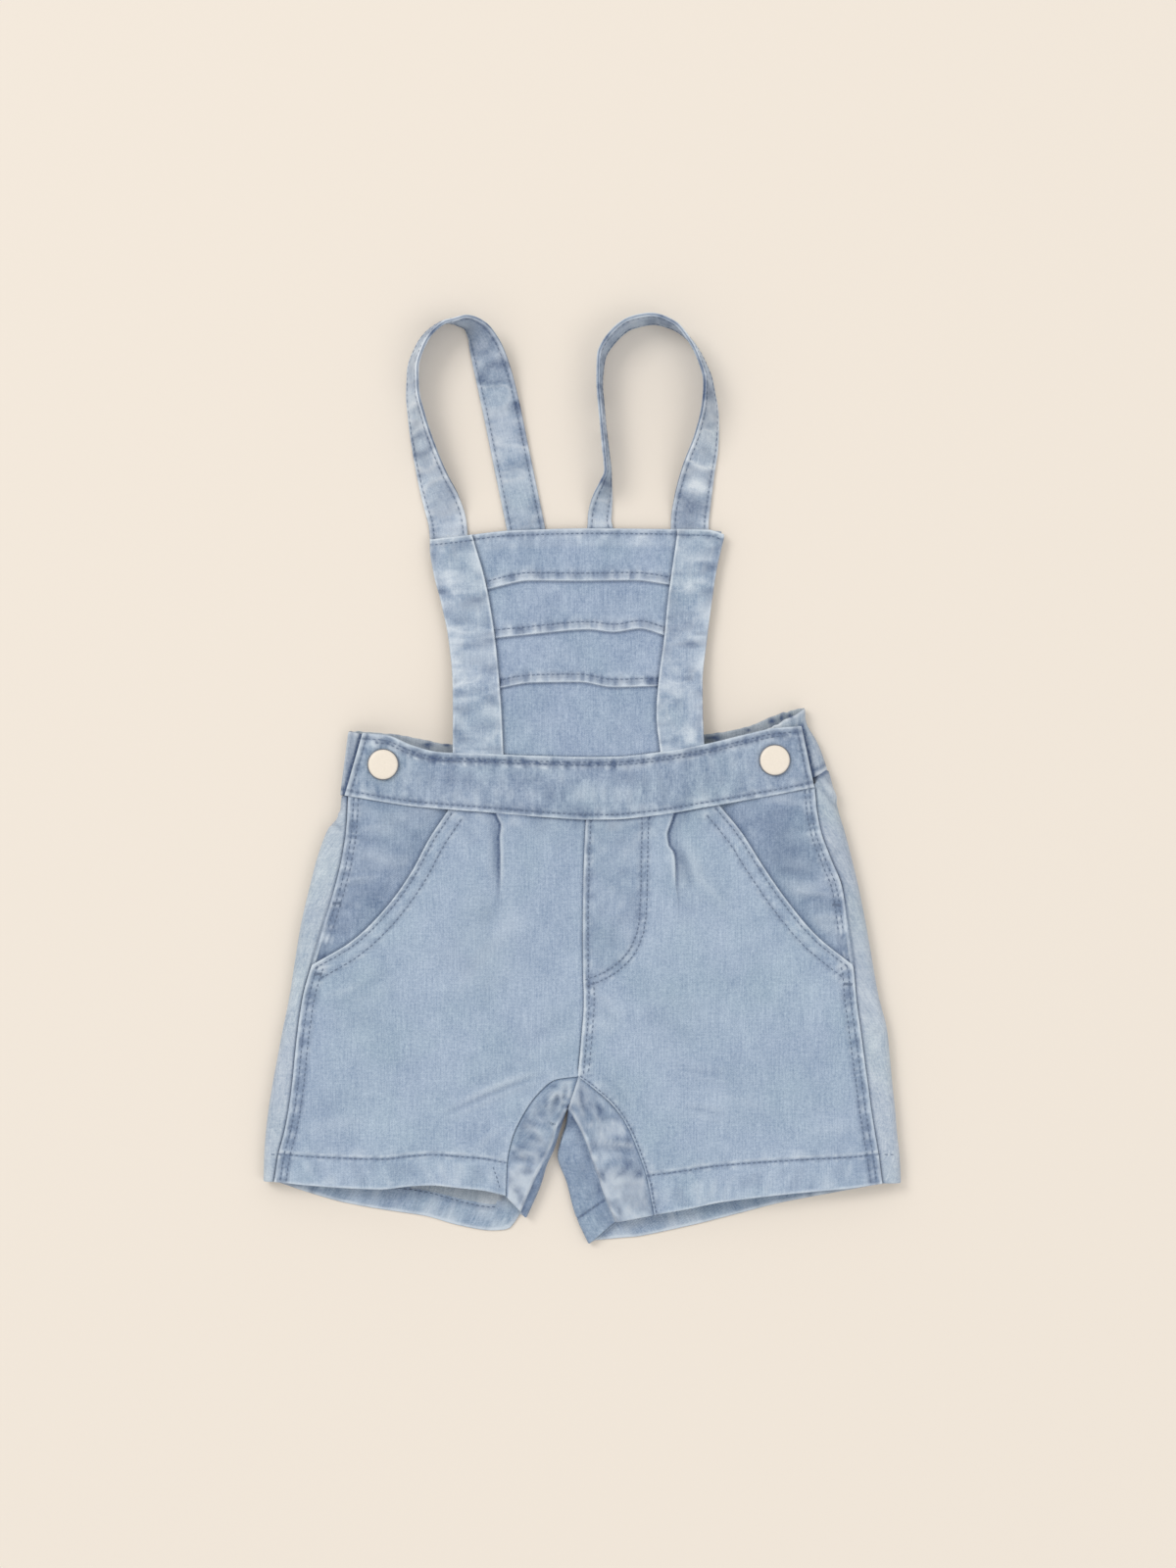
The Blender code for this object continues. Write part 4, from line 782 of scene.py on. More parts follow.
    # The pleat's folded edge is rubbed paler. Beside and under the fold there is painted shadow.
    cloth.worn += 0.75 * held * rubbed * np.exp(-((inward - 0.8) / 0.8) ** 2)
    cloth.dye_and_shade += 0.9 * (1 - ease(-y, 46, 66)) * np.exp(-((inward + 0.8) / 0.9) ** 2)
    cloth.dye_and_shade += 0.4 * (1 - ease(-y, 40, 62)) * ease(inward, -9, -1) * (inward < 0)
    cloth.relief += 0.2 * held * np.exp(-((inward - 0.7) / 0.8) ** 2)
    cloth.roping(np.stack([np.linspace(-122, 118, 90), waist_seam(np.linspace(-122, 118, 90))], 1),
                 0.2, 5.5, 0.3, 4.6, 0.55, seed=23)
    under_band = waist_seam(x) - y
    shaded = ripple(x / 11.0, y / 12.0, 29)
    # Painted shade below the waistband, patchy, and a painted shadow line right under its lower edge.
    cloth.dye_and_shade += (1 - ease(under_band, 4, 20)) * (0.12 + 0.25 * np.maximum(shaded, 0))
    cloth.dye_and_shade += 0.6 * np.exp(-((under_band - 0.4) / 0.9) ** 2)
    cloth.creases(FRONT_CREASES[side])
    inside = ease(nearest_on(lines["outer"], cloth.plan)[0], 2, 12)
    cloth.lie_uneven(34, 0.28, 31 if side == "left" else 37, inside)
    made = cloth.shell(f"{side}_front", DENIM, denim, reverse)
    return made, cloth, lines


def sorted_line(line):
    order = np.argsort(line[:, 0])
    return line[order, 0], line[order, 1]


# ---------------------------------------------------------------- pockets
def make_facing(side, denim, reverse):
    sign = -1 if side == "left" else 1
    rows = stations((0, 6), 14.0, GRAIN)
    seam = side_seam(side, rows)
    seam[:, 0] += sign * 0.3
    edge = pocket_edge(side, rows * FRONT_POCKET_ROW / POCKET_ROW)
    under = beside(edge, -sign * POCKET_UNDERLAP)
    width = np.linalg.norm(under - seam, axis=1)
    across = columns([0 * width, width], [34])
    share = across / width[:, None]
    plan = seam[:, None] + (under - seam)[:, None] * share[..., None]
    plan[0, :, 1] = waist_seam(plan[0, :, 0]) + TUCKED_UNDER
    clear = (1 - share) * width[:, None] - POCKET_UNDERLAP
    flush = ease(clear, 1.5, 10.0) * (1 - ease(rows, 4.0, 5.5))[:, None]
    height = front_height(plan[..., 0], plan[..., 1]) - LAYER * (1 - flush)
    cloth = Cloth(level_sheet(plan, height))
    lines = front_lines(side)
    seam_line = side_seam(side, np.linspace(0, 6, 40))
    cloth.rolled_edge(seam_line, 0.45, 0.9, rubbing_and_light=0.95, seed=41)
    for gap in (2.5, 4.9):
        cloth.stitch_line(beside(seam_line, -sign * gap), 0.24, 0.8, groove_shade=0.4)
    cloth.roping(seam_line, 0.9, 6.0, 0.3, 2.9, 0.55, seed=42)
    distance, along, _ = nearest_on(lines["pocket"], cloth.plan)
    # Painted shadow on the facing along the front's pocket edge, which lies over it.
    cloth.dye_and_shade += 0.6 * np.exp(-((distance - 0.4) / 1.3) ** 2)
    x, y = cloth.plan.T
    folds = ripple(y / 7.0 + x / 30, x / 26, 44) + 0.6 * ripple(y / 3.4 - x / 20, x / 14, 45)
    folds *= ease(distance, 1.5, 6.0)
    amount = 1.0 if side == "left" else 1.5
    # Folds are painted lighter on their tops and darker in their dips, as light and shade.
    cloth.form += 0.16 * amount * folds
    cloth.worn += 0.26 * amount * np.maximum(folds, 0)
    cloth.dye_and_shade += 0.32 * amount * np.maximum(-folds, 0)
    cloth.creases(FACING_CREASES[side], ease(distance, 1.0, 4.0))
    cloth.lie_uneven(16, 0.25, 43, ease(distance, 2, 7))
    made = cloth.shell(f"{side}_pocket_facing", DENIM, denim, reverse)
    return made, cloth, seam_line


# ---------------------------------------------------------------- backs
def leg_sections(side, rows):
    """Sections of the inner leg from the surface up over its roll to the inseam."""
    legs = INNER_LEGS[side]
    step = rows - CROTCH_ROW
    sign = -1 if side == "left" else 1
    inseam = inner_seam(side, step + FRONT_CROTCH_ROW)
    fold, lip = legs.line(step, "fold_x", "fold_y"), legs.line(step, "lip_x", "lip_y")
    out = unit(fold - inseam)
    ahead, behind = np.minimum(step + 0.25, legs.last), np.maximum(step - 0.25, 0)
    run = legs.line(ahead, "lip_x", "lip_y") - legs.line(behind, "lip_x", "lip_y")
    lip_out = unit(np.stack([sign * run[:, 1], -sign * run[:, 0]], 1))
    lip_out = unit(out + (lip_out - out) * ease(step, 0.0, 1.0)[:, None])
    spread = ease(np.linalg.norm(lip - fold, axis=1), 1.5, 8.0)
    tight_share = 1 - spread
    top = front_height(fold[:, 0], fold[:, 1])
    lip_top = top + (LIP_RISE - top) * spread
    turned = [unit(lip_out + (out - lip_out) * k) for k in (0.2, 0.6, 0.85, 1.0)]
    flat = np.zeros(len(rows))
    outline = (
        (lip - lip_out * ROLL_TOE, lip - lip_out * ROLL_TOE, flat, flat - 1),
        (lip - lip_out * 1.0, lip - lip_out * 1.0, 0.14 * lip_top, flat),
        (lip, lip, 0.5 * lip_top, flat),
        (lip - lip_out * 0.9, lip - lip_out * 0.7, 0.86 * lip_top, 0.3 * tight_share),
        (lip - turned[0] * 2.4, (lip + fold) / 2, lip_top * 0.98, 0.8 * tight_share),
        (lip - turned[1] * 3.8, fold + out * 0.3, top + (LIP_RISE + 0.6 - top) * spread,
         tight_share),
        (lip - turned[2] * 5.2, fold - out * 0.4, top - 1.4 * spread, tight_share),
        (lip - turned[3] * 7.4, fold - out * 2.6, top, flat + 1),
    )
    sections = []
    for tight, wide, z, level in outline:
        place = tight * tight_share[:, None] + wide * spread[:, None]
        sections.append(np.column_stack([place, z, level]))
    last = sections[-1][:, :2]
    reach = inseam - last
    for share in (0.45, 0.8, 1.0):
        place = last + reach * share
        sections.append(np.column_stack(
            [place, front_height(place[:, 0], place[:, 1]), flat + 1]))
    covered = inseam - out * TUCKED_UNDER
    sections.append(np.column_stack(
        [covered, front_height(covered[:, 0], covered[:, 1]), flat + 1]))
    return np.array(sections)


def make_back(side, denim, reverse, wrapped):
    sign = -1 if side == "left" else 1
    table = SIDES[side]
    rows = stations((0, CROTCH_ROW, HEM_ROW, SIDE_ROWS), 14.2, 1.45)
    hidden = np.array([1.0, 0.75, 0.5, 0.35, 0.22, 0.12, 0.05])
    rows = np.concatenate([0 * hidden, rows])
    tucked = np.concatenate([hidden, np.zeros(len(rows) - len(hidden))])[:, None]
    seam = side_seam(side, rows)
    fold, y = table.read("fold", rows), table.read("y", rows)
    top = front_height(fold, y)
    reach = np.minimum(top / 2, 0.75 * np.abs(seam[:, 0] - fold))
    middle = fold - sign * reach
    legged = rows >= CROTCH_ROW
    sections = leg_sections(side, rows[legged])
    gap = SEAM_GAP / 2
    inner = BACK_SEAM.line(rows)
    inner[:, 0] += sign * gap
    inner[legged] = sections[0][:, :2]
    share = np.concatenate([np.linspace(0, 1, 52)])
    flat_x = inner[:, :1] + (middle[:, None] - inner[:, :1]) * share
    flat_y = inner[:, 1:] + (y[:, None] - inner[:, 1:]) * share
    flat_y -= ease(rows, 9, 14)[:, None] * BACK_HEMS[side].read("drop", 1 - share, by="share")
    flat_y[:len(hidden) + 1] = back_band_low(flat_x[0]) - 2 * SEAM_GAP
    flat_y[legged, 0] = inner[legged, 1]
    angles = np.radians(np.linspace(-90, 90, 19)[1:])
    shoulder = (SHOULDERS[side] * (1 - ease(rows, 0, 1.5)))[:, None]
    roll_x = middle[:, None] + sign * reach[:, None] * np.cos(angles)
    roll_z = top[:, None] / 2 * (1 + np.sin(angles))
    roll_y = y[:, None] + shoulder * (0.66 + 0.34 * np.cos(angles))
    under = seam[:, 0] - sign * TUCKED_UNDER
    room = np.abs(under - middle)
    across = columns([0 * room, room], [6])[:, 4:]
    strip = across / room[:, None]
    strip_x = middle[:, None] + (under - middle)[:, None] * strip
    strip_y = y[:, None] + 0.66 * shoulder * (1 - strip)
    strip_z = front_height(strip_x, strip_y)
    flat_y, roll_y, strip_y = (
        flat_y + 2.5 * tucked, roll_y + TOP_TUCK[side] * tucked, strip_y + TOP_TUCK[side] * tucked)
    plan_x, plan_y = np.hstack([flat_x, roll_x, strip_x]), np.hstack([flat_y, roll_y, strip_y])
    height = np.hstack([0 * flat_x, roll_z, strip_z])
    level = np.hstack([0 * flat_x - 1, 0 * roll_x, 0 * strip_x + 1])
    points = np.dstack([plan_x, plan_y, height])
    run = np.cumsum(np.linalg.norm(np.diff(points, axis=1), axis=2), axis=1)
    weave = np.dstack([np.hstack([0 * room[:, None], run]) * sign, plan_y])
    under = np.hstack([0 * flat_x + 1.7, 0 * roll_x + 3.0, 0 * strip_x + 3.0])
    under = under * ease(tucked, 0, 0.3)
    places = np.arange(len(sections), dtype=float)
    fine = np.concatenate([np.linspace(0, 7, 29), np.linspace(7, 10, 13)[1:],
                           10 + np.array([0.2, 0.45, 0.7, 0.9, 1.0])])
    legs = smooth_curve(places, sections, fine).transpose(1, 0, 2)[:, ::-1]
    leg_points = legs[..., :3]
    leg_run = np.cumsum(np.linalg.norm(np.diff(leg_points[:, ::-1], axis=1), axis=2), axis=1)
    leg_u = -np.hstack([0 * leg_run[:, :1], leg_run])[:, ::-1] * sign
    cloth = Cloth((points, level, weave), (leg_points, legs[..., 3], np.dstack(
        [leg_u, leg_points[..., 1]])), facing=-1)
    top_keys = np.round(points.reshape(-1, 3), 3)
    found = {tuple(key): amount for key, amount in zip(top_keys.tolist(), under.ravel()) if amount}
    cloth.form -= np.array([found.get(tuple(key), 0) for key in np.round(cloth.points, 3).tolist()])
    lines = front_lines(side)
    x, y = cloth.plan.T
    high = cloth.points[:, 2] > 5.0
    edge = np.vstack([side_seam(side, np.linspace(0, SIDE_ROWS, 90))])
    distance, _, _ = nearest_on(edge, cloth.plan)
    covered = np.where(sign * (x - np.interp(-y, -edge[:, 1], edge[:, 0])) < 0, distance, -distance)
    strip_side = sign * x > 60
    outside = high & strip_side
    cloth.form -= np.where(outside, 1.1 * ease(covered, -1.6, 0.0), 0)
    # Painted shadow on the side strip where it goes under the front's side seam.
    cloth.dye_and_shade += np.where(outside, 0.7 * np.exp(-((covered + 0.7) / 0.9) ** 2), 0)
    leg_side = high & ~strip_side
    inseam = lines["inseam"]
    distance, along, _ = nearest_on(inseam, cloth.plan)
    legs_out = distance_out(inseam, cloth.plan, distance, sign)
    cloth.form -= np.where(leg_side, 1.0 * ease(-legs_out, -1.6, 0.0), 0)
    # Painted shadow beside the inseam, where the leg strip goes under the front.
    cloth.dye_and_shade += np.where(leg_side, 0.3 * np.exp(-((legs_out - 0.7) / 1.1) ** 2), 0)
    legged = (cloth.points[:, 2] > 0.6) & ~strip_side
    folds = INNER_LEGS[side].line(np.linspace(0, INNER_LEGS[side].last, 60), "fold_x", "fold_y")
    gap, along, _ = nearest_on(folds, cloth.plan)
    beyond = np.where(sign * (np.interp(-y, -folds[:, 1], folds[:, 0]) - x) > 0, gap, -gap)
    below = legged * ease(-y, 165.0, 169.0)
    strip = legged * ease(legs_out, 0.6, 2.4) * (1 - below * ease(beyond, -0.6, 0.4))
    lip = below * ease(beyond, -0.2, 0.8)
    cloth.wrapped = legged
    cloth.creases(LEG_CREASES[side], strip)
    crumple = ripple(x / 4.6, y / 4.0, 51) + 0.7 * ripple((x + y) / 3.0, (x - y) / 5.0, 52)
    crumple += 0.5 * ripple(x / 2.1, y / 2.4, 53)
    blocks = ripple(x / 9.0, y / 8.0, 57)
    cloth.form += 0.34 * strip * ease(legs_out, 1.0, 4.0) * crumple
    # Leg strip: crumple tops are painted lighter and hollows darker as light and shade. There are also blocks
    # of lighter and deeper tone, and the whole strip is made a little deeper.
    cloth.worn += strip * (0.5 * np.maximum(crumple, 0) + 0.35 * np.maximum(blocks, 0))
    cloth.worn += 0.5 * strip * ease(-y, 194, 202)
    cloth.dye_and_shade += strip * (0.2 + 0.5 * np.maximum(-crumple, 0) + 0.4 * np.maximum(-blocks, 0))
    # Painted shade on the back of the leg that lies lower beyond the fold, deepest beside the fold and
    # towards the crotch.
    cloth.dye_and_shade += lip * (0.42 + 0.7 * np.exp(-beyond / 2.0) + 0.2 * crumple + 0.2 * blocks)
    cloth.dye_and_shade += 0.5 * lip * (1 - ease(-y, 168, 182))
    ridge = below * np.exp(-((beyond + 0.7) / 0.7) ** 2) * (0.75 + 0.3 * ripple(along / 4, seed=54))
    cloth.worn += 1.1 * ridge
    cloth.relief += 0.4 * ridge
    # Painted shade along the stitching's groove across the lip.
    cuff = lip * np.exp(-((y - 0.69 * (x + 1.7) + 223) / 0.9) ** 2) * (side == "right")
    cloth.dye_and_shade += 0.8 * cuff
    cloth.relief -= 0.3 * cuff
    centre = np.array([(-2.4, -151.0), (-7.6, -166.6)])
    middle, _, _ = nearest_on(centre, cloth.plan)
    if side == "right":
        cloth.worn += 0.9 * legged * np.exp(-((middle - 0.8) / 0.8) ** 2)
        cloth.relief += 0.4 * legged * np.exp(-((middle - 0.8) / 0.8) ** 2)
    else:
        cloth.dye_and_shade += 0.7 * legged * np.exp(-((middle - 0.4) / 0.9) ** 2)
    cloth.creases(SIDE_CREASES[side], outside * ease(-covered, 0.8, 3.0))
    columns_of = BACK_WAISTBAND.columns
    upper = (columns_of["level"] > 0.4) & (columns_of["x_low"] * sign > 0)
    band_edge = np.stack([columns_of["x_low"][upper], columns_of["low"][upper]], 1)
    below_band, _, _ = nearest_on(band_edge, cloth.plan)
    # Painted shadow on the side strip under the back waistband's lower edge.
    cloth.dye_and_shade += 0.9 * outside * np.exp(-((below_band - 0.3) / 1.3) ** 2)
    cloth.dye_and_shade += 0.3 * outside * (1 - ease(below_band, 2, 9))
    if side == "right":
        cloth.dye_and_shade += 0.32 * outside * bump(x, y, (130, -62), (14, 46))
    floor = cloth.points[:, 2] < 0.4
    cloth.relief -= np.where(floor, 0.25, 0)
    hem = np.stack([flat_x[-1], flat_y[-1]], 1)
    from_hem, along, _ = nearest_on(hem, cloth.plan)
    cloth.turned = floor & (from_hem < HEM_DEPTH)
    rope = ripple(along / 3.4, from_hem / 12, 55) + 0.6 * ripple(along / 8, from_hem / 16, 56)
    stitched = np.exp(-((from_hem - HEM_DEPTH + 1.6) / 0.9) ** 2)
    # Inside the hem: roping that is paler and deeper, a paler fold and a deeper stitch line. The rest of the
    # inside is painted in shade under the front's hem.
    cloth.inner_worn = 0.6 * np.maximum(rope, 0) + 0.9 * np.exp(-((from_hem - 0.6) / 0.8) ** 2)
    cloth.inner_dye_and_shade = np.where(cloth.turned, 0.06 + 0.5 * np.maximum(-rope, 0) + 0.8 * stitched, 0.2)
    hem_stitch = beside(hem, sign * (HEM_DEPTH - 1.6))
    made = cloth.shell(f"{side}_back", DENIM, denim, reverse, wrapped)
    return made, cloth, hem_stitch


def distance_out(line, places, distance, sign):
    """The distance from an inseam, above 0 on the side between the legs."""
    order = np.argsort(-line[:, 1])
    along_x = np.interp(-places[:, 1], -line[order, 1], line[order, 0])
    return np.where(sign * (along_x - places[:, 0]) > 0, distance, -distance)


# ---------------------------------------------------------------- waist
def band_line(share, gap_ends=0.0):
    """A line along the front waistband at a share of its depth."""
    rows = np.linspace(0, WAISTBAND.last, 120)
    low, high = WAISTBAND.line(rows, "x_low", "low"), WAISTBAND.line(rows, "x_high", "high")
    return low + (high - low) * share


def make_front_waistband(denim, reverse):
    rows = stations((0, WAISTBAND.last), 19.8, GRAIN)
    low, high = WAISTBAND.line(rows, "x_low", "low"), WAISTBAND.line(rows, "x_high", "high")
    width = np.linalg.norm(high - low, axis=1)
    across = columns([0 * width, width], [22])
    share = across / width[:, None]
    plan = low[:, None] + (high - low)[:, None] * share[..., None]
    height = front_height(plan[..., 0], plan[..., 1]) + BAND - CLOTH
    cloth = Cloth(level_sheet(plan, height))
    lines = {"low": band_line(0), "high": band_line(1),
             "left": np.array([plan[0, 0], plan[0, -1]]), "right": np.array([plan[-1, 0], plan[-1, -1]])}
    for name, rubbing_and_light, seed in (("low", 0.95, 61), ("high", 1.0, 62), ("left", 1.5, 63), ("right", 1.1, 64)):
        cloth.rolled_edge(lines[name], 0.45, 0.9, rubbing_and_light=rubbing_and_light, seed=seed)
    ends = np.minimum(nearest_on(lines["left"], cloth.plan)[0], nearest_on(
        lines["right"], cloth.plan)[0])
    cloth.relief += 0.3 * np.exp(-((ends - 1.0) / 0.9) ** 2)
    cloth.worn += 0.5 * np.exp(-((ends - 1.2) / 0.8) ** 2)
    inset = {"low": beside(lines["low"], 2.6), "high": beside(lines["high"], -2.8),
             "left": beside(lines["left"], -2.6), "right": beside(lines["right"], 2.6),
             "second": beside(lines["high"], -4.4)[6:-6]}
    for name, line in inset.items():
        cloth.stitch_line(line, 0.32, 0.8, groove_shade=0.85)
    cloth.stitch_line(inset["second"], 0.25, 0.7, groove_shade=0.6)
    cloth.roping(lines["high"], 0.9, 7.0, 0.3, 2.8, 0.65, seed=65)
    cloth.roping(lines["low"], 0.9, 6.5, 0.28, 3.0, 0.6, seed=66)
    distance, along, _ = nearest_on(inset["high"], cloth.plan)
    below = distance * np.where(cloth.plan[:, 1] < np.interp(
        cloth.plan[:, 0], *sorted_line(inset["high"])), 1, -1)
    cloth.worn += 0.35 * np.exp(-((below - 1.9) / 0.9) ** 2) * (1 + 0.5 * ripple(along / 8, seed=6))
    x, y = cloth.plan.T
    blotch = 0.6 * ripple(x / 15, y / 8, 67) + 0.6 * ripple(x / 6, y / 7, 68)
    blotch += 0.8 * ripple(x / 2.6, y / 8, 70)
    # Blotches: raised parts are paler and dips darker. This is partly real mottling and partly painted light
    # and shade.
    cloth.form += 0.1 * blotch
    cloth.worn += 0.32 * np.maximum(blotch, 0)
    cloth.dye_and_shade += 0.36 * np.maximum(-blotch, 0)
    cloth.lie_uneven(22, 0.18, 69)
    made = cloth.shell("front_waist", 1.05, denim, reverse)
    return made, cloth, inset


# Deep shadows between gathers of the back waistband: x y and their spread across and down.
GATHER_SHADOWS = (
    (66, 21, 5.0, 1.3), (84.5, 25.0, 1.2, 0.8), (96.5, 29.6, 2.0, 1.4), (105.2, 32.4, 1.4, 1.2),
    (101, 31, 0.9, 1.6), (-79.4, 17.4, 3.2, 1.0), (-69.7, 17.4, 1.8, 1.0))


def strap_clear(x):
    near = [ease(np.abs(x - STRAPS[s].columns["x"][-1]), 11, 16) for s in STRAPS]
    return np.minimum(near[0], near[1])


def make_back_waistband(denim, reverse):
    table = BACK_WAISTBAND.columns
    middle = (table["x_low"] + table["x_high"]) / 2
    rise = table["level"] * (FRONT_RISE - LAYER)
    lengths = np.concatenate([[0], np.cumsum(np.hypot(np.diff(middle), np.diff(rise)))])
    place = np.linspace(0, lengths[-1], GATHERS * 9 + 1)
    x_low, low, x_high, high, level = (
        smooth_curve(lengths, column, place)[:, None] for column in table.values())
    share = np.concatenate([NEAR_EDGE[:8] / 30, np.linspace(0.1, 0.9, 13), 1 - NEAR_EDGE[7::-1] / 30])
    x = x_low + (x_high - x_low) * share
    y = low + (high - low) * share
    x = x - PINCH * ease(x, 104, 114) * np.exp(-((share - 0.75) / 0.22) ** 2)
    turn = place[:, None] / lengths[-1] * GATHERS * math.tau
    uneven = 0.75 + 0.6 * ripple(place[:, None] / 5.3, seed=71)
    wave = np.sin(turn + 1.6 * ripple(place[:, None] / 7, seed=72))
    wave = 0.35 * wave + 0.9 * ripple(place[:, None] / 2.9, seed=73)
    gathered = 0.25 + 1.2 * ease(x, 90, 94) * (1 - ease(x, 104, 109)) + 0.2 * ease(-x, 60, 70)
    y = y + RUFFLE * uneven * gathered * wave * ease(share, 0.8, 1.0) * strap_clear(x)
    ceiling = front_height(x, y) - CLOTH - LAYER_GAP
    points = np.dstack([x, y, level * ceiling])
    weave = np.dstack([np.broadcast_to(place[:, None], x.shape), np.broadcast_to(share * 30, x.shape)])
    cloth = Cloth((points, 0.0, weave))
    amount = (GATHER_DEPTH * uneven * (0.5 + 0.5 * wave) * ease(share, 0.12, 0.85) * (level > 0.05))
    keys = np.round(points.reshape(-1, 3), 3)
    _, first = np.unique(keys, axis=0, return_index=True)
    cloth.relief -= amount.ravel()[first]
    # Gathers: painted shade in their dips and painted highlight on their tops.
    ridge = (wave * ease(share, 0.1, 0.5)).ravel()[first]
    cloth.dye_and_shade += 0.5 * np.maximum(ridge, 0)
    cloth.worn += 0.5 * np.maximum(-ridge, 0)
    top_edge = np.broadcast_to((1 - share) * 30, x.shape).ravel()[first]
    cloth.worn += 0.8 * np.exp(-((top_edge - 0.6) / 0.9) ** 2)
    low_edge = np.broadcast_to(share * 30, x.shape).ravel()[first]
    x, y = cloth.plan.T
    outside = (cloth.points[:, 2] > 4.0) * (np.abs(x) > 104)
    cloth.worn += 0.9 * outside * np.exp(-((low_edge - 1.0) / 0.9) ** 2)
    cloth.dye_and_shade += 0.8 * outside * np.exp(-((low_edge - 3.0) / 0.8) ** 2)
    # Painted shadow on the back band beside each end of the front band.
    for end in (0, WAISTBAND.last):
        edge = np.array([WAISTBAND.line(end, "x_low", "low"), WAISTBAND.line(end, "x_high", "high")])
        distance, _, _ = nearest_on(edge, cloth.plan)
        cloth.dye_and_shade += 1.6 * outside * np.exp(-((distance - 0.6) / 1.2) ** 2)
    cloth.dye_and_shade += outside * 0.3
    # Painted shadows in the deep dips between gathers.
    for shadow_x, shadow_y, across, down in GATHER_SHADOWS:
        cloth.dye_and_shade += 1.5 * bump(x, y, (shadow_x, shadow_y), (across, down))
    made = cloth.shell("back_waist", 1.5, denim, reverse)
    return made, cloth


# ---------------------------------------------------------------- bib
def bib_edge(name, y):
    return smooth_curve(-BIB.columns["y"], BIB.columns[name], -np.asarray(y, float))


def bib_plan(start, offset, share):
    """Plan points of the bib along one row, at shares of the width between its bands."""
    y = np.full(len(share), 60.0)
    for _ in range(5):
        left, right = bib_edge("left_band", y), bib_edge("right_band", y)
        x = left + (right - left) * share
        if start == "top":
            y = BIB_TOP.read("y", x, by="x") - offset
        elif start == "waist":
            y = waist_top(x) + offset
        else:
            y = TUCKS[start].read("y", np.clip(share, 0, 1), by="share") + offset
    return np.stack([x, y], 1)


BIB_ROWS = (
    ("top", 0.0), ("top", 0.1), ("top", 0.25), ("top", 0.5), ("top", 0.8), ("top", 1.2),
    ("top", 1.7), ("top", 2.3), ("top", 3.0), ("top", 4.0), ("top", 6.0), ("top", 8.0), ("top", 10.0))


def bib_stations():
    """Every row of the bib from its hem to the waist, close together at each tuck's fold."""
    down = (13, 11, 9, 7.4, 6.2, 5.4, 4.9, 4.4, 3.8, 3.2, 2.6, 2.0, 1.5, 1.1, 0.8, 0.55, 0.35,
            0.2, 0.08, 0.0, -0.1, -0.25, -0.45, -0.8, -1.3, -2.0, -3.0, -4.2, -5.5, -7.0)
    rows = list(BIB_ROWS)
    for number in range(len(TUCKS)):
        rows += [(number, offset) for offset in down]
    rows += [("waist", offset) for offset in (26, 23, 20, 17, 14, 11.5, 9, 7, 5, 3.5, 2.2, 1.2, 0.4, -0.6)]
    return rows


def bib_grid(share):
    """The bib's plan on all of its rows, and how far each point is above its tuck's fold."""
    grid, above = [], []
    for start, offset in bib_stations():
        grid.append(bib_plan(start, offset, share))
        above.append(np.full(len(share), offset if isinstance(start, int) else 99.0))
    grid = np.array(grid)
    fixed = [grid[0]]
    for row in grid[1:]:
        fixed.append(np.stack([row[:, 0], np.minimum(row[:, 1], fixed[-1][:, 1] - 0.03)], 1))
    return np.array(fixed), np.array(above)


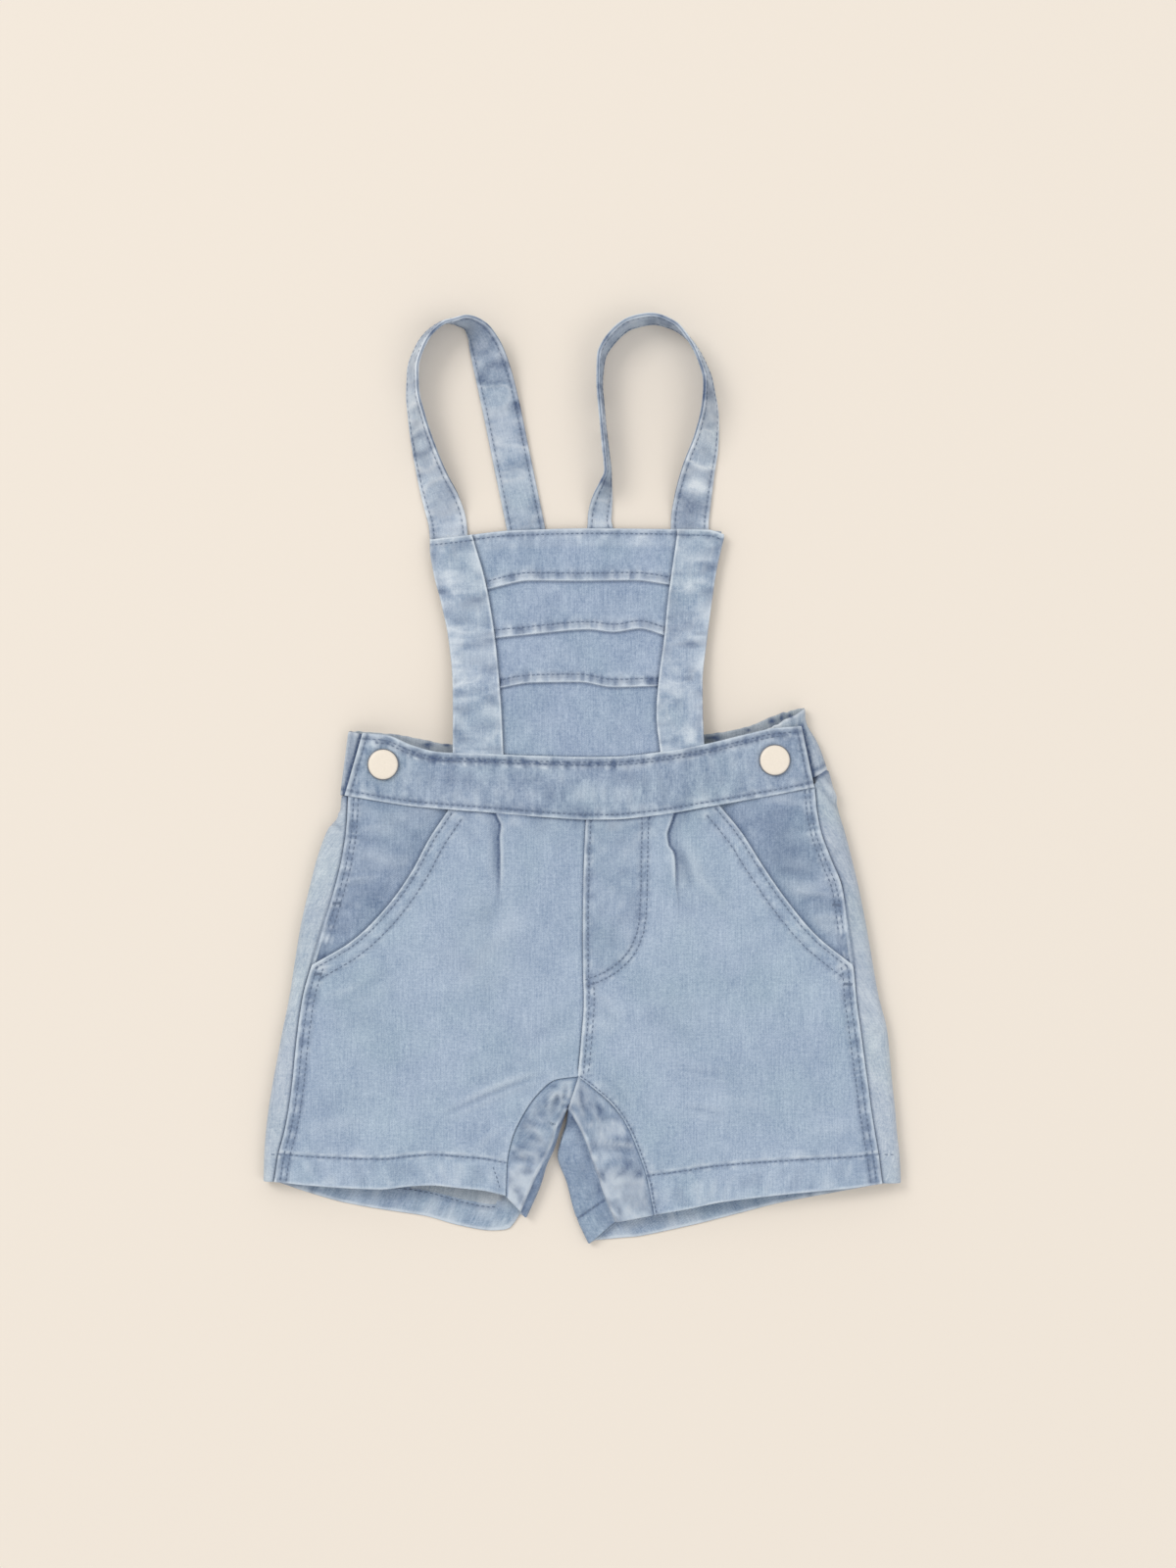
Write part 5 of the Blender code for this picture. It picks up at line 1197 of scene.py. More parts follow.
def make_bib(denim, reverse):
    width = 95.0
    across = np.concatenate([[-0.19, -0.12, -0.06], columns([np.zeros(1), np.full(1, width)], [64])[0]
                             / width, [1.06, 1.12, 1.19]])
    plan, above = bib_grid(across)
    y_left, y_right = plan[:, 0, 1], plan[:, -1, 1]
    for k, share in ((0, 0.96), (1, 0.62), (2, 0.3)):
        left, outer = bib_edge("left_band", y_left), bib_edge("left", y_left)
        plan[:, k, 0] = left + (outer - left) * share
        right, outer = bib_edge("right_band", y_right), bib_edge("right", y_right)
        plan[:, -1 - k, 0] = right + (outer - right) * share
    height = bib_height(plan[..., 0], plan[..., 1])
    open_cloth = ease(across, -0.01, 0.01) * (1 - ease(across, 0.99, 1.01))
    lift = TUCK_DEPTH * (1 - ease(above, 0.3, TUCK_FOLD + 0.8) * 0.75) * ease(above, -0.1, 0.35)
    lift = np.where(above < TUCK_FOLD + 1.2, lift, 0) * (1 - ease(above, TUCK_FOLD, TUCK_FOLD + 1.2))
    cloth = Cloth(level_sheet(plan, height + lift * open_cloth))
    lines = {"top": bib_plan("top", 0, np.linspace(-0.2, 1.2, 80)),
             "top_stitch": bib_plan("top", 2.6, np.linspace(-0.2, 1.2, 80))}
    for number in range(len(TUCKS)):
        share = np.linspace(-0.02, 1.02, 90)
        fold, seam = bib_plan(number, 0.0, share), bib_plan(number, TUCK_FOLD, share)
        lines[f"tuck_{number}"], lines[f"tuck_stitch_{number}"] = fold, seam
        distance, along, _ = nearest_on(fold, cloth.plan)
        over = distance * np.where(cloth.plan[:, 1] > np.interp(cloth.plan[:, 0], *sorted_line(fold)), 1, -1)
        # Each tuck: its folded edge is rubbed paler, with a painted shadow line under the fold.
        cloth.worn += 1.0 * np.exp(-((over - 0.55) / 0.6) ** 2) * (0.8 + 0.3 * ripple(along / 6, seed=number))
        cloth.relief += 0.28 * np.exp(-((over - 0.6) / 0.6) ** 2)
        cloth.dye_and_shade += 0.8 * np.exp(-((over + 0.55) / 0.7) ** 2)
        cloth.stitch_line(seam, 0.28, 0.9, groove_shade=0.6)
        cloth.stitch_line(bib_plan(number, TUCK_FOLD - 1.5, share), 0.2, 0.6, groove_shade=0.4)
        cloth.worn += 0.12 * ease(over, 0.6, 1.4) * (1 - ease(over, 3.4, 4.2))
        cloth.roping(fold, 0.6, 4.2, 0.34, 2.7, 0.85, where=over > 0, seed=80 + number)
        cloth.roping(seam, 0.4, 4.0, 0.12, 3.2, 0.4, seed=84 + number)
        # Pulls between fold and stitching: their tops are painted lighter and their dips darker, as light and
        # shade.
        pulls = ripple(along / 1.9, seed=140 + number) * ease(over, 0.5, 1.2) * (1 - ease(over, 4.6, 6.0))
        cloth.worn += 0.6 * np.maximum(pulls, 0)
        cloth.dye_and_shade += 0.45 * np.maximum(-pulls, 0)
        cloth.relief += 0.12 * pulls
    # Painted shadow cast by each band's inner edge onto the bib.
    for name, sign in (("left_band", -1), ("right_band", 1)):
        edge_x = bib_edge(name, cloth.plan[:, 1])
        gap = (cloth.plan[:, 0] - edge_x) * -sign
        cloth.dye_and_shade += 0.55 * np.exp(-((gap - 0.6) / 1.0) ** 2)
    cloth.rolled_edge(lines["top"], 0.4, 0.8, rubbing_and_light=0.9, seed=88)
    cloth.stitch_line(lines["top_stitch"], 0.3, 0.8, groove_shade=0.75)
    cloth.roping(lines["top"], 1.0, 9.5, 0.2, 3.0, 0.6, seed=89)
    distance, _, _ = nearest_on(lines["top"], cloth.plan)
    cloth.worn += 0.18 * (1 - ease(distance, 8.6, 9.8))
    cloth.relief += 0.16 * (1 - ease(distance, 8.8, 9.6))
    cloth.creases(BIB_CREASES)
    cloth.lie_uneven(26, 0.16, 90)
    made = cloth.shell("bib_panel", DENIM, denim, reverse)
    return made, cloth, lines


def make_bib_band(side, denim, reverse):
    sign = -1 if side == "left" else 1
    across = columns([np.zeros(1), np.full(1, 22.0)], [14])[0] / 22.0
    edge_share = 0.0 if side == "left" else 1.0
    spine, above = bib_grid(np.array([edge_share]))
    inner_y = spine[:, 0, 1]
    inner_x = bib_edge(f"{side}_band", inner_y)
    outer_x = bib_edge(side, inner_y) + sign * 0.35
    x = inner_x[:, None] + (outer_x - inner_x)[:, None] * across
    y = np.repeat(inner_y[:, None], len(across), 1)
    near_top = 1 - ease(np.arange(len(inner_y)), 2, 16)[:, None]
    near_waist = ease(np.arange(len(inner_y)), len(inner_y) - 14, len(inner_y) - 2)[:, None]
    top_shift = BIB_TOP.read("y", x, by="x") - BIB_TOP.read("y", inner_x, by="x")[:, None]
    waist_shift = waist_top(x) - waist_top(inner_x)[:, None]
    y = y + near_top * top_shift + near_waist * waist_shift
    plan = np.dstack([x, y])
    tuck = np.maximum(1 - np.abs(above - 2.2) / 5.0, 0)
    height = bib_height(x, y) + LAYER + 0.15 + 0.3 * tuck * (1 - across * 0.6)
    cloth = Cloth(level_sheet(plan, height))
    inner_line, outer_line = plan[:, 0], plan[:, -1]
    lines = {"inner": inner_line, "outer": outer_line, "top": plan[0]}
    cloth.rolled_edge(inner_line, 0.5, 0.8, rubbing_and_light=1.15, seed=91)
    cloth.rolled_edge(outer_line, 0.35, 0.8, rubbing_and_light=0.6, seed=92)
    cloth.rolled_edge(plan[0], 0.4, 0.8, rubbing_and_light=0.9, seed=93)
    lines["outer_stitch"] = beside(evenly(outer_line, 2.0), -1.8 if side == "left" else 1.8)
    lines["top_stitch"] = plan[0] - np.array([0, 3.0])
    for name in ("outer_stitch", "top_stitch"):
        cloth.stitch_line(lines[name], 0.28, 0.75, groove_shade=0.8)
    cloth.roping(outer_line, 0.6, 7.0, 0.3, 3.3, 0.75, seed=94)
    cloth.roping(inner_line, 1.2, 5.0, 0.18, 3.4, 0.45, seed=97)
    x, y = cloth.plan.T
    seed = 95 if side == "left" else 99
    outer_gap, _, _ = nearest_on(outer_line, cloth.plan)
    block = 0.35 * ripple(y / 8.5 + 0.12 * (x / 10), x / 20, seed)
    block += (0.6 + 0.6 * (1 - ease(outer_gap, 6, 14))) * ripple(y / 4.0, x / 9, seed + 1)
    block += 0.5 * ripple(y / 1.9, x / 6, seed + 2)
    creased = np.exp(-(ripple(y / 9.0, x / 12, seed + 3) / 0.09) ** 2)
    # Blocks along the band: raised parts are paler and dips deeper. This is partly real roping and partly
    # painted light and shade.
    cloth.form += 0.22 * block
    cloth.worn += 0.55 * np.maximum(block, 0) + 0.3 * creased
    cloth.dye_and_shade += 0.75 * np.maximum(-block, 0)
    made = cloth.shell(f"{side}_bib_edging", DENIM, denim, reverse)
    return made, cloth, lines


# ---------------------------------------------------------------- straps
STRAP_EDGE = 0.9         # how round the strap's folded edges are
STRAP_TWIST = 0.35


def strap_profile(half):
    """Round the strap's section from its outside face: across and through."""
    thin = STRAP / 2
    flat = np.array([-1, -0.93, -0.86, -0.8, -0.72, -0.6, -0.4, -0.2, 0, 0.2, 0.4, 0.6, 0.72, 0.8, 0.86,
                     0.93, 1])
    side = half - STRAP_EDGE
    outside = [(a * side, thin) for a in flat]
    turn = np.radians([62, 34, 14])
    edge = [(side + STRAP_EDGE * np.cos(t), thin * np.sin(t) ** 0.8) for t in turn]
    edge += [(half - 0.28, 0.0)]
    edge += [(a, -b) for a, b in edge[-2::-1]]
    inside = [(-a, -b) for a, b in outside]
    return np.array(outside + edge + inside + [(-a, -b) for a, b in edge])


def make_strap(side, denim):
    table = STRAPS[side].columns
    x, y, roll, width = (table[c] for c in ("x", "y", "roll", "width"))
    lengths = np.concatenate([[0], np.cumsum(
        np.hypot(np.diff(x), np.diff(y)) + STRAP_TWIST * np.abs(np.diff(roll)))])
    outward = 1 if side == "left" else -1
    places = np.linspace(0, lengths[-1], 300)
    plan = np.stack([smooth_curve(lengths, x, places), smooth_curve(lengths, y, places)], 1)
    ahead = np.stack([smooth_curve(lengths, c, places + 1.0) for c in (x, y)], 1)
    behind = np.stack([smooth_curve(lengths, c, places - 1.0) for c in (x, y)], 1)
    along = unit(ahead - behind)
    turn = np.radians(smooth_curve(lengths, roll, places))[:, None]
    half = smooth_curve(lengths, width, places) / 2
    across = np.column_stack([-along[:, 1], along[:, 0], 0 * along[:, 0]]) * outward
    up = np.array([0.0, 0.0, 1.0])
    face = up * np.cos(turn) + across * np.sin(turn)
    wide = across * np.cos(turn) - up * np.sin(turn)
    run = run_of(plan)
    profile = np.array([strap_profile(h) for h in half])
    a, b = profile[..., 0], profile[..., 1]
    from_edge = half[:, None] - np.abs(a)
    v = run[:, None] + 0 * a
    seed = 101 if side == "left" else 111
    block = ripple(v / 7.5, a / 26, seed) + 0.6 * ripple(v / 3.2, a / 8, seed + 1)
    crossing = ripple(v / 8.5, a / 16, seed + 5)
    creased = np.exp(-(crossing / 0.1) ** 2) * ease(from_edge, 0.3, 1.6)
    relief = (0.14 * block + 0.14 * creased) * ease(from_edge, 0.6, 3.0)
    groove = np.exp(-((from_edge - 2.3) / 0.8) ** 2) * (np.abs(b) > 0.9)
    puckers = ripple(v / 2.8, seed=seed + 2)
    relief -= 0.22 * groove
    relief += 0.12 * puckers * np.exp(-((from_edge - 1.6) / 1.6) ** 2)
    b = b + np.sign(b) * relief
    rings = wide[:, None] * a[..., None] + face[:, None] * b[..., None]
    rings[..., 2] -= rings[..., 2].min(axis=1)[:, None]
    rings[..., 0] += plan[:, :1]
    rings[..., 1] += plan[:, 1:]
    count, around = rings.shape[:2]
    grid = np.arange(count * around).reshape(count, around)
    right = np.roll(grid, -1, axis=1)
    faces = np.stack([grid[:-1], right[:-1], right[1:], grid[1:]], -1).reshape(-1, 4)
    if side == "right":
        faces = faces[:, ::-1]
    points = rings.reshape(-1, 3)
    caps = []
    for line in (grid[0], grid[-1][::-1]):
        line = line if side == "left" else line[::-1]
        mid = around // 2
        strip = [(line[k], line[k + 1], line[around - 2 - k], line[around - 1 - k])
                 for k in range(mid - 1)]
        caps += [face[::-1] for face in strip]
    faces = np.vstack([faces, np.array(caps)])
    edge_wear = np.exp(-((from_edge - 0.5) / 0.8) ** 2) * (0.85 + 0.3 * puckers)
    seam_line = np.exp(-(b / 0.35) ** 2) * (from_edge < 0.7)
    under = ease(-b, 0.2, 0.6)
    ticks = ripple(v / 1.5, seed=seed + 7) * np.exp(-((from_edge - 2.6) / 2.0) ** 2)
    # Blocks along the strap: raised parts are paler and dips deeper. This is partly real roping and partly
    # painted light and shade.
    worn = (0.5 - 0.2 * under) * np.maximum(block, 0) + 0.7 * edge_wear + 0.15 * (1 - under)
    worn += 0.5 * creased + 0.35 * np.maximum(ticks, 0)
    dye_and_shade = 0.6 * np.maximum(-block, 0) + 0.35 * groove + 0.9 * seam_line + 0.24 * under
    dye_and_shade += 0.5 * ease(crossing, 0.05, 0.5) * (1 - ease(crossing, 0.5, 1.0))
    dye_and_shade += 0.3 * np.maximum(-ticks, 0)
    worn = worn * (1 - 0.9 * seam_line)
    weave = np.dstack([a + 40 * (b < 0), v])
    made = piece(f"{side}_shoulder_strap", points, faces, [denim], np.zeros(len(faces), int),
                 weave.reshape(-1, 2), {"worn": worn.ravel(), "dye_and_shade": dye_and_shade.ravel()})
    frame_of = {"plan": plan, "wide": wide, "face": face, "half": half, "run": run,
                "low": (wide[:, None] * a[..., None] + face[:, None] * b[..., None])[..., 2].min(1)}
    return made, frame_of


# ---------------------------------------------------------------- stitching
THREAD = 0.24            # half the thickness of the topstitching thread
STITCH = 2.7             # from one stitch to the next
STITCH_RINGS = np.array([(-1.0, 0.45, -0.75), (-0.55, 0.95, 0.25), (0.0, 1.05, 0.6),
                         (0.55, 0.95, 0.25), (1.0, 0.45, -0.75)])


class Thread:
    """All the stitches of one part of the garment."""

    def __init__(self):
        self.parts = []

    def stitches(self, starts, ends, ups, thick=THREAD):
        middle, half = (starts + ends) / 2, (ends - starts) / 2
        along = unit(half)
        side = unit(np.cross(along, ups))
        up = np.cross(side, along)
        turns = np.radians(np.arange(5) * 72)
        rings = []
        for place, size, rise in STITCH_RINGS:
            centre = middle + half * place + up * rise * thick
            ring = [centre + (side * np.cos(t) + up * np.sin(t)) * size * thick for t in turns]
            rings.append(np.stack(ring, 1))
        self.parts.append(np.stack(rings, 1))

    def sew(self, line, cloths, up=1.0, pitch=STITCH, thick=THREAD, reach=0.72, seed=0,
            highest=40.0):
        """Stitches along a plan line, on the face of the cloth that is met from that side."""
        marks = evenly(np.asarray(line, float), pitch / 2)
        starts, ends = [], []
        for k in range(0, len(marks) - 1, 2):
            sway = 0.1 * float(ripple(k * 0.7, seed=seed))
            middle = (marks[k] + marks[k + 1]) / 2
            half = (marks[k + 1] - marks[k]) * reach
            side = unit(np.array([-half[1], half[0]])) * sway
            starts.append(middle - half + side)
            ends.append(middle + half + side)
        found = []
        for place in np.vstack([starts, ends]):
            hits = [c.tree.ray_cast((place[0], place[1], 40.0 * up), (0, 0, -up)) for c in cloths]
            heights = [h[0][2] for h in hits if h[0] is not None]
            found.append(max(heights) if up > 0 and heights else min(heights, default=np.nan)
                         if heights else np.nan)
        found = np.array(found)
        count = len(starts)
        low, high = found[:count], found[count:]
        good = ~(np.isnan(low) | np.isnan(high)) & (np.abs(low - high) < 1.2)
        good &= np.maximum(low, high) < highest
        a = np.column_stack([np.array(starts), low])[good]
        b = np.column_stack([np.array(ends), high])[good]
        if len(a):
            self.stitches(a, b, np.tile([0.0, 0.0, up], (len(a), 1)), thick)

    def bar(self, centre, direction, cloths, length=6.0, width=1.6):
        """A bartack: close stitches to and fro across a short bar."""
        direction = unit(np.array(direction, float))
        side = np.array([-direction[1], direction[0]])
        centre = np.array(centre, float)
        for k in range(int(length / 0.55)):
            along = centre + direction * (k * 0.55 - length / 2)
            slant = direction * 0.25
            self.sew(np.array([along - side * width / 2 - slant, along + side * width / 2 + slant]),
                     cloths, pitch=2 * width, reach=0.9, thick=0.2)

    def finish(self, name, material):
        points = np.vstack(self.parts)
        count = len(points)
        ring = np.arange(5)
        faces = []
        for k in range(4):
            a, b = k * 5 + ring, k * 5 + (ring + 1) % 5
            faces.append(np.stack([a, b, b + 5, a + 5], 1))
        faces = np.vstack(faces)
        starts = np.arange(count) * 25
        faces = (faces[None] + starts[:, None, None]).reshape(-1, 4)
        caps = [tuple(s + ring[::-1]) for s in starts] + [tuple(s + 20 + ring) for s in starts]
        mesh = bpy.data.meshes.new(name)
        mesh.from_pydata((points.reshape(-1, 3) * MILLIMETRE).tolist(), [],
                         faces.tolist() + [[int(k) for k in cap] for cap in caps])
        mesh.materials.append(material)
        mesh.shade_smooth()
        made = bpy.data.objects.new(name, mesh)
        bpy.context.scene.collection.objects.link(made)
        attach(made, "root")
        return made


def sew_strap(thread, strap, gap=2.3):
    """Both rows of stitching on both faces of a strap."""
    run = strap["run"]
    places = np.arange(1.5, run[-1] - 1.5, STITCH)
    for sign in (-1, 1):
        for through in (-1, 1):
            ends = []
            for shift in (-0.95, 0.95):
                at = places + shift
                point = np.stack([np.interp(at, run, strap["plan"][:, k]) for k in range(2)], 1)
                wide = unit(np.stack([np.interp(at, run, strap["wide"][:, k]) for k in range(3)], 1))
                face = unit(np.stack([np.interp(at, run, strap["face"][:, k]) for k in range(3)], 1))
                half = np.interp(at, run, strap["half"])
                low = np.interp(at, run, strap["low"])
                place = wide * (sign * (half - gap))[:, None] + face * through * (STRAP / 2 - 0.16)
                place[:, :2] += point
                place[:, 2] -= low
                ends.append(place)
            thread.stitches(ends[0], ends[1], face * through, 0.19)


# ---------------------------------------------------------------- buttons
def make_button(side, enamel, metal):
    """A domed snap cap with a rolled rim, on the thin ring that holds it to the band."""
    x, y = BUTTONS[side]
    floor = float(front_height(np.float64(x), np.float64(y))) + BAND - CLOTH + LAYER_GAP + 0.05
    rim = BUTTON_RADIUS
    cap = ((0.0, 2.5), (3.0, 2.5), (5.4, 2.46), (6.4, 2.36), (6.9, 2.22), (7.2, 2.02), (7.42, 1.74),
           (7.5, 1.4), (7.44, 1.1))
    ring = ((7.5, 1.1), (7.7, 1.16), (7.92, 1.02), (8.0, 0.7), (7.95, 0.25), (7.7, 0.0), (0.0, 0.0))
    profile = [(r, h, 0) for r, h in cap] + [(r, h, 1) for r, h in ring]
    sides = 96
    turns = np.arange(sides) * math.tau / sides
    points, faces, looks = [], [], []
    for r, h, _ in profile:
        points += [(x + r * math.cos(t), y + r * math.sin(t), floor + h) for t in turns]
    for k in range(len(profile) - 1):
        for j in range(sides):
            a, b = k * sides + j, k * sides + (j + 1) % sides
            faces.append((a, a + sides, b + sides, b))
            looks.append(profile[k + 1][2])
    points = np.array(points)
    weave = points[:, :2]
    merged = np.arange(len(points))
    merged[:sides] = 0
    merged[-sides:] = len(points) - sides
    faces = [tuple(merged[list(f)]) for f in faces]
    zero = np.zeros(len(points))
    return piece(f"{side}_button_cap", points, faces, [enamel, metal], looks, weave,
                 {"worn": zero, "dye_and_shade": zero})


# ---------------------------------------------------------------- material groups
def group(name, inputs, outputs):
    """A new node group with named sockets, and its two ends."""
    tree = bpy.data.node_groups.new(name, "ShaderNodeTree")
    for label, kind, value in inputs:
        socket = tree.interface.new_socket(label, in_out="INPUT", socket_type=kind)
        if value is not None:
            socket.default_value = value
    for label, kind in outputs:
        tree.interface.new_socket(label, in_out="OUTPUT", socket_type=kind)
    return tree, tree.nodes.new("NodeGroupInput"), tree.nodes.new("NodeGroupOutput")


def put(tree, kind, links=(), **settings):
    """A node with its settings; links gives its inputs as (socket, value or output)."""
    node = tree.nodes.new(kind)
    for name, value in settings.items():
        setattr(node, name, value)
    for socket, value in links:
        if isinstance(value, bpy.types.NodeSocket):
            tree.links.new(value, node.inputs[socket])
        else:
            node.inputs[socket].default_value = value
    return node


def maths(tree, operation, a, b=0.0, clamp=False):
    return put(tree, "ShaderNodeMath", ((0, a), (1, b)), operation=operation,
               use_clamp=clamp).outputs[0]


def scaled(tree, vector, scale):
    return put(tree, "ShaderNodeMapping", (("Vector", vector), ("Scale", scale))).outputs[0]


def noise(tree, vector, scale, detail=2.0, roughness=0.5):
    node = put(tree, "ShaderNodeTexNoise", (("Vector", vector), ("Scale", scale),
                                            ("Detail", detail), ("Roughness", roughness)))
    return node.outputs["Fac"]


def blend_of(tree, share, a, b, kind="MIX"):
    node = put(tree, "ShaderNodeMix", data_type="RGBA", blend_type=kind)
    for socket, value in ((0, share), (6, a), (7, b)):
        if isinstance(value, bpy.types.NodeSocket):
            tree.links.new(value, node.inputs[socket])
        else:
            node.inputs[socket].default_value = value
    return node.outputs[2]


def ramp(tree, value, low, high):
    node = put(tree, "ShaderNodeMapRange", (("Value", value), ("From Min", low), ("From Max", high)))
    node.clamp = True
    return node.outputs[0]


def weave_group():
    """Denim's threads: twill lines, thick and thin yarns, and fine grain."""
    tree, start, end = group(
        "denim weave", (("Threads", "NodeSocketVector", None), ("Twill", "NodeSocketFloat", 0.3),
                        ("Slub", "NodeSocketFloat", 1.0), ("Fleck", "NodeSocketFloat", 1.0)),
        (("Shade", "NodeSocketFloat"), ("Height", "NodeSocketFloat")))
    threads = start.outputs["Threads"]
    turned = put(tree, "ShaderNodeMapping", (("Vector", threads), ("Rotation", (0, 0, math.radians(58))),
                                             ("Scale", (1000, 1000, 1000)))).outputs[0]
    twill = put(tree, "ShaderNodeTexWave", (("Vector", turned), ("Scale", 0.36), ("Distortion", 1.2),
                                            ("Detail", 1.0), ("Detail Scale", 1.5)),
                wave_type="BANDS", bands_direction="X").outputs["Fac"]
    down = noise(tree, scaled(tree, threads, (1500, 70, 1)), 1.0, 3.0, 0.6)
    across = noise(tree, scaled(tree, threads, (110, 1700, 1)), 1.0, 2.0, 0.5)
    grain = noise(tree, threads, 1900.0, 2.0, 0.7)
    yarn = maths(tree, "MULTIPLY", maths(tree, "SUBTRACT", down, 0.5), 1.5)
    weft = maths(tree, "MULTIPLY", maths(tree, "SUBTRACT", across, 0.5), 0.7)
    speck = maths(tree, "MULTIPLY", maths(tree, "SUBTRACT", grain, 0.5), 1.1)
    lines = maths(tree, "MULTIPLY", maths(tree, "SUBTRACT", twill, 0.5), start.outputs["Twill"])
    slubs = maths(tree, "MULTIPLY", maths(tree, "ADD", yarn, weft), start.outputs["Slub"])
    heather = noise(tree, scaled(tree, threads, (1000, 760, 1)), 1.0, 3.0, 0.7)
    flecks = maths(tree, "MULTIPLY", maths(tree, "SUBTRACT", heather, 0.5), start.outputs["Fleck"])
    shade = maths(tree, "ADD", maths(tree, "ADD", slubs, speck), maths(tree, "ADD", lines, flecks))
    tree.links.new(shade, end.inputs["Shade"])
    height = maths(tree, "ADD", maths(tree, "MULTIPLY", twill, 0.5),
                   maths(tree, "ADD", down, maths(tree, "MULTIPLY", grain, 0.6)))
    tree.links.new(height, end.inputs["Height"])
    return tree


def wash_group():
    """Uneven lighter and deeper patches left by the wash."""
    tree, start, end = group(
        "stone wash", (("Threads", "NodeSocketVector", None), ("Patch", "NodeSocketFloat", 32.0),
                       ("Mottle", "NodeSocketFloat", 1.0)),
        (("Shade", "NodeSocketFloat"), ("Tint", "NodeSocketFloat")))
    threads = start.outputs["Threads"]
    broad = noise(tree, threads, start.outputs["Patch"], 3.0, 0.55)
    small = noise(tree, scaled(tree, threads, (1, 0.6, 1)), 150.0, 3.0, 0.6)
    fine = noise(tree, scaled(tree, threads, (1, 0.5, 1)), 520.0, 2.0, 0.6)
    mottle = maths(tree, "ADD", maths(tree, "MULTIPLY", maths(tree, "SUBTRACT", small, 0.5), 0.7),
                   maths(tree, "MULTIPLY", maths(tree, "SUBTRACT", fine, 0.5), 0.6))
    mottle = maths(tree, "MULTIPLY", mottle, start.outputs["Mottle"])
    total = maths(tree, "ADD", maths(tree, "SUBTRACT", broad, 0.5), mottle)
    tree.links.new(total, end.inputs["Shade"])
    grey = maths(tree, "SUBTRACT", noise(tree, threads, 24.0, 2.0, 0.5), 0.42)
    tree.links.new(maths(tree, "MULTIPLY", grey, 1.6, clamp=True), end.inputs["Tint"])
    return tree


def rub_and_shade_group():
    """Where edges and creases are rubbed pale or keep their indigo, with painted highlights on tops and
    painted shade in hollows and under edges, broken up by the threads.
    """
    tree, start, end = group(
        "rubbed edges, painted light and shade", (("Threads", "NodeSocketVector", None), ("Break", "NodeSocketFloat", 0.5)),
        (("Pale", "NodeSocketFloat"), ("Dyed_and_shaded", "NodeSocketFloat")))
    worn = put(tree, "ShaderNodeAttribute", attribute_name="worn").outputs["Fac"]
    dye_and_shade = put(tree, "ShaderNodeAttribute", attribute_name="dye_and_shade").outputs["Fac"]
    rough = noise(tree, start.outputs["Threads"], 700.0, 3.0, 0.65)
    uneven = maths(tree, "MULTIPLY", maths(tree, "SUBTRACT", rough, 0.5), start.outputs["Break"])
    pale = maths(tree, "MULTIPLY", worn, maths(tree, "ADD", uneven, 1.0), clamp=True)
    # This deepening amount is kept indigo and also painted shade.
    dyed = maths(tree, "MULTIPLY", dye_and_shade, maths(tree, "ADD", uneven, 1.0))
    tree.links.new(pale, end.inputs["Pale"])
    tree.links.new(dyed, end.inputs["Dyed_and_shaded"])
    return tree


def linear(red, green, blue):
    return (*((c / 255 / 12.92) if c < 11 else ((c / 255 + 0.055) / 1.055) ** 2.4
              for c in (red, green, blue)), 1.0)


DYE_AND_SHADE = (80, 98, 130)      # where the cloth keeps most of its indigo, also the colour of painted shade


def denim(name, deep, cloth, faded, groups, patch=32.0, mottle=1.0, slub=1.2, fleck=2.6):
    """Washed denim: deep where its indigo stays, its own shade, and faded where it is rubbed; the faded and
    deep colours also paint highlights and shade.
    """
    material = bpy.data.materials.new(name)
    material.use_nodes = True
    tree = material.node_tree
    shader = tree.nodes["Principled BSDF"]
    threads = put(tree, "ShaderNodeUVMap", uv_map="weave").outputs[0]
    weave = put(tree, "ShaderNodeGroup", node_tree=groups["weave"])
    wash = put(tree, "ShaderNodeGroup", node_tree=groups["wash"])
    rub_and_shade = put(tree, "ShaderNodeGroup", node_tree=groups["rub_and_shade"])
    for node in (weave, wash, rub_and_shade):
        tree.links.new(threads, node.inputs["Threads"])
    weave.inputs["Slub"].default_value = slub
    weave.inputs["Twill"].default_value = 0.12
    weave.inputs["Fleck"].default_value = fleck
    wash.inputs["Patch"].default_value = patch
    wash.inputs["Mottle"].default_value = mottle
    rub_and_shade.inputs["Break"].default_value = 1.4
    shade = maths(tree, "ADD", maths(tree, "MULTIPLY", weave.outputs["Shade"], 0.45),
                  maths(tree, "MULTIPLY", wash.outputs["Shade"], 0.55))
    share = maths(tree, "ADD", shade, 0.5, clamp=True)
    dyed = blend_of(tree, share, linear(*deep), linear(*cloth))
    base = blend_of(tree, wash.outputs["Tint"], dyed, (0.93, 1.0, 0.93, 1.0), "MULTIPLY")
    # Paler where rubbed and where highlights are painted; deeper where indigo is kept and where shade is
    # painted.
    lighter = blend_of(tree, maths(tree, "MULTIPLY", rub_and_shade.outputs["Pale"], 0.8), base, linear(*faded))
    darker = blend_of(tree, maths(tree, "MULTIPLY", rub_and_shade.outputs["Dyed_and_shaded"], 0.62, clamp=True), lighter,
                      linear(*DYE_AND_SHADE))
    tree.links.new(darker, shader.inputs["Base Color"])
    shader.inputs["Roughness"].default_value = 0.92
    shader.inputs["Specular IOR Level"].default_value = 0.25
    shader.inputs["Sheen Weight"].default_value = 0.12
    shader.inputs["Sheen Roughness"].default_value = 0.6
    bumps = put(tree, "ShaderNodeBump", (("Strength", 0.55), ("Distance", 0.00025),
                                         ("Height", weave.outputs["Height"])))
    tree.links.new(bumps.outputs[0], shader.inputs["Normal"])
    return material


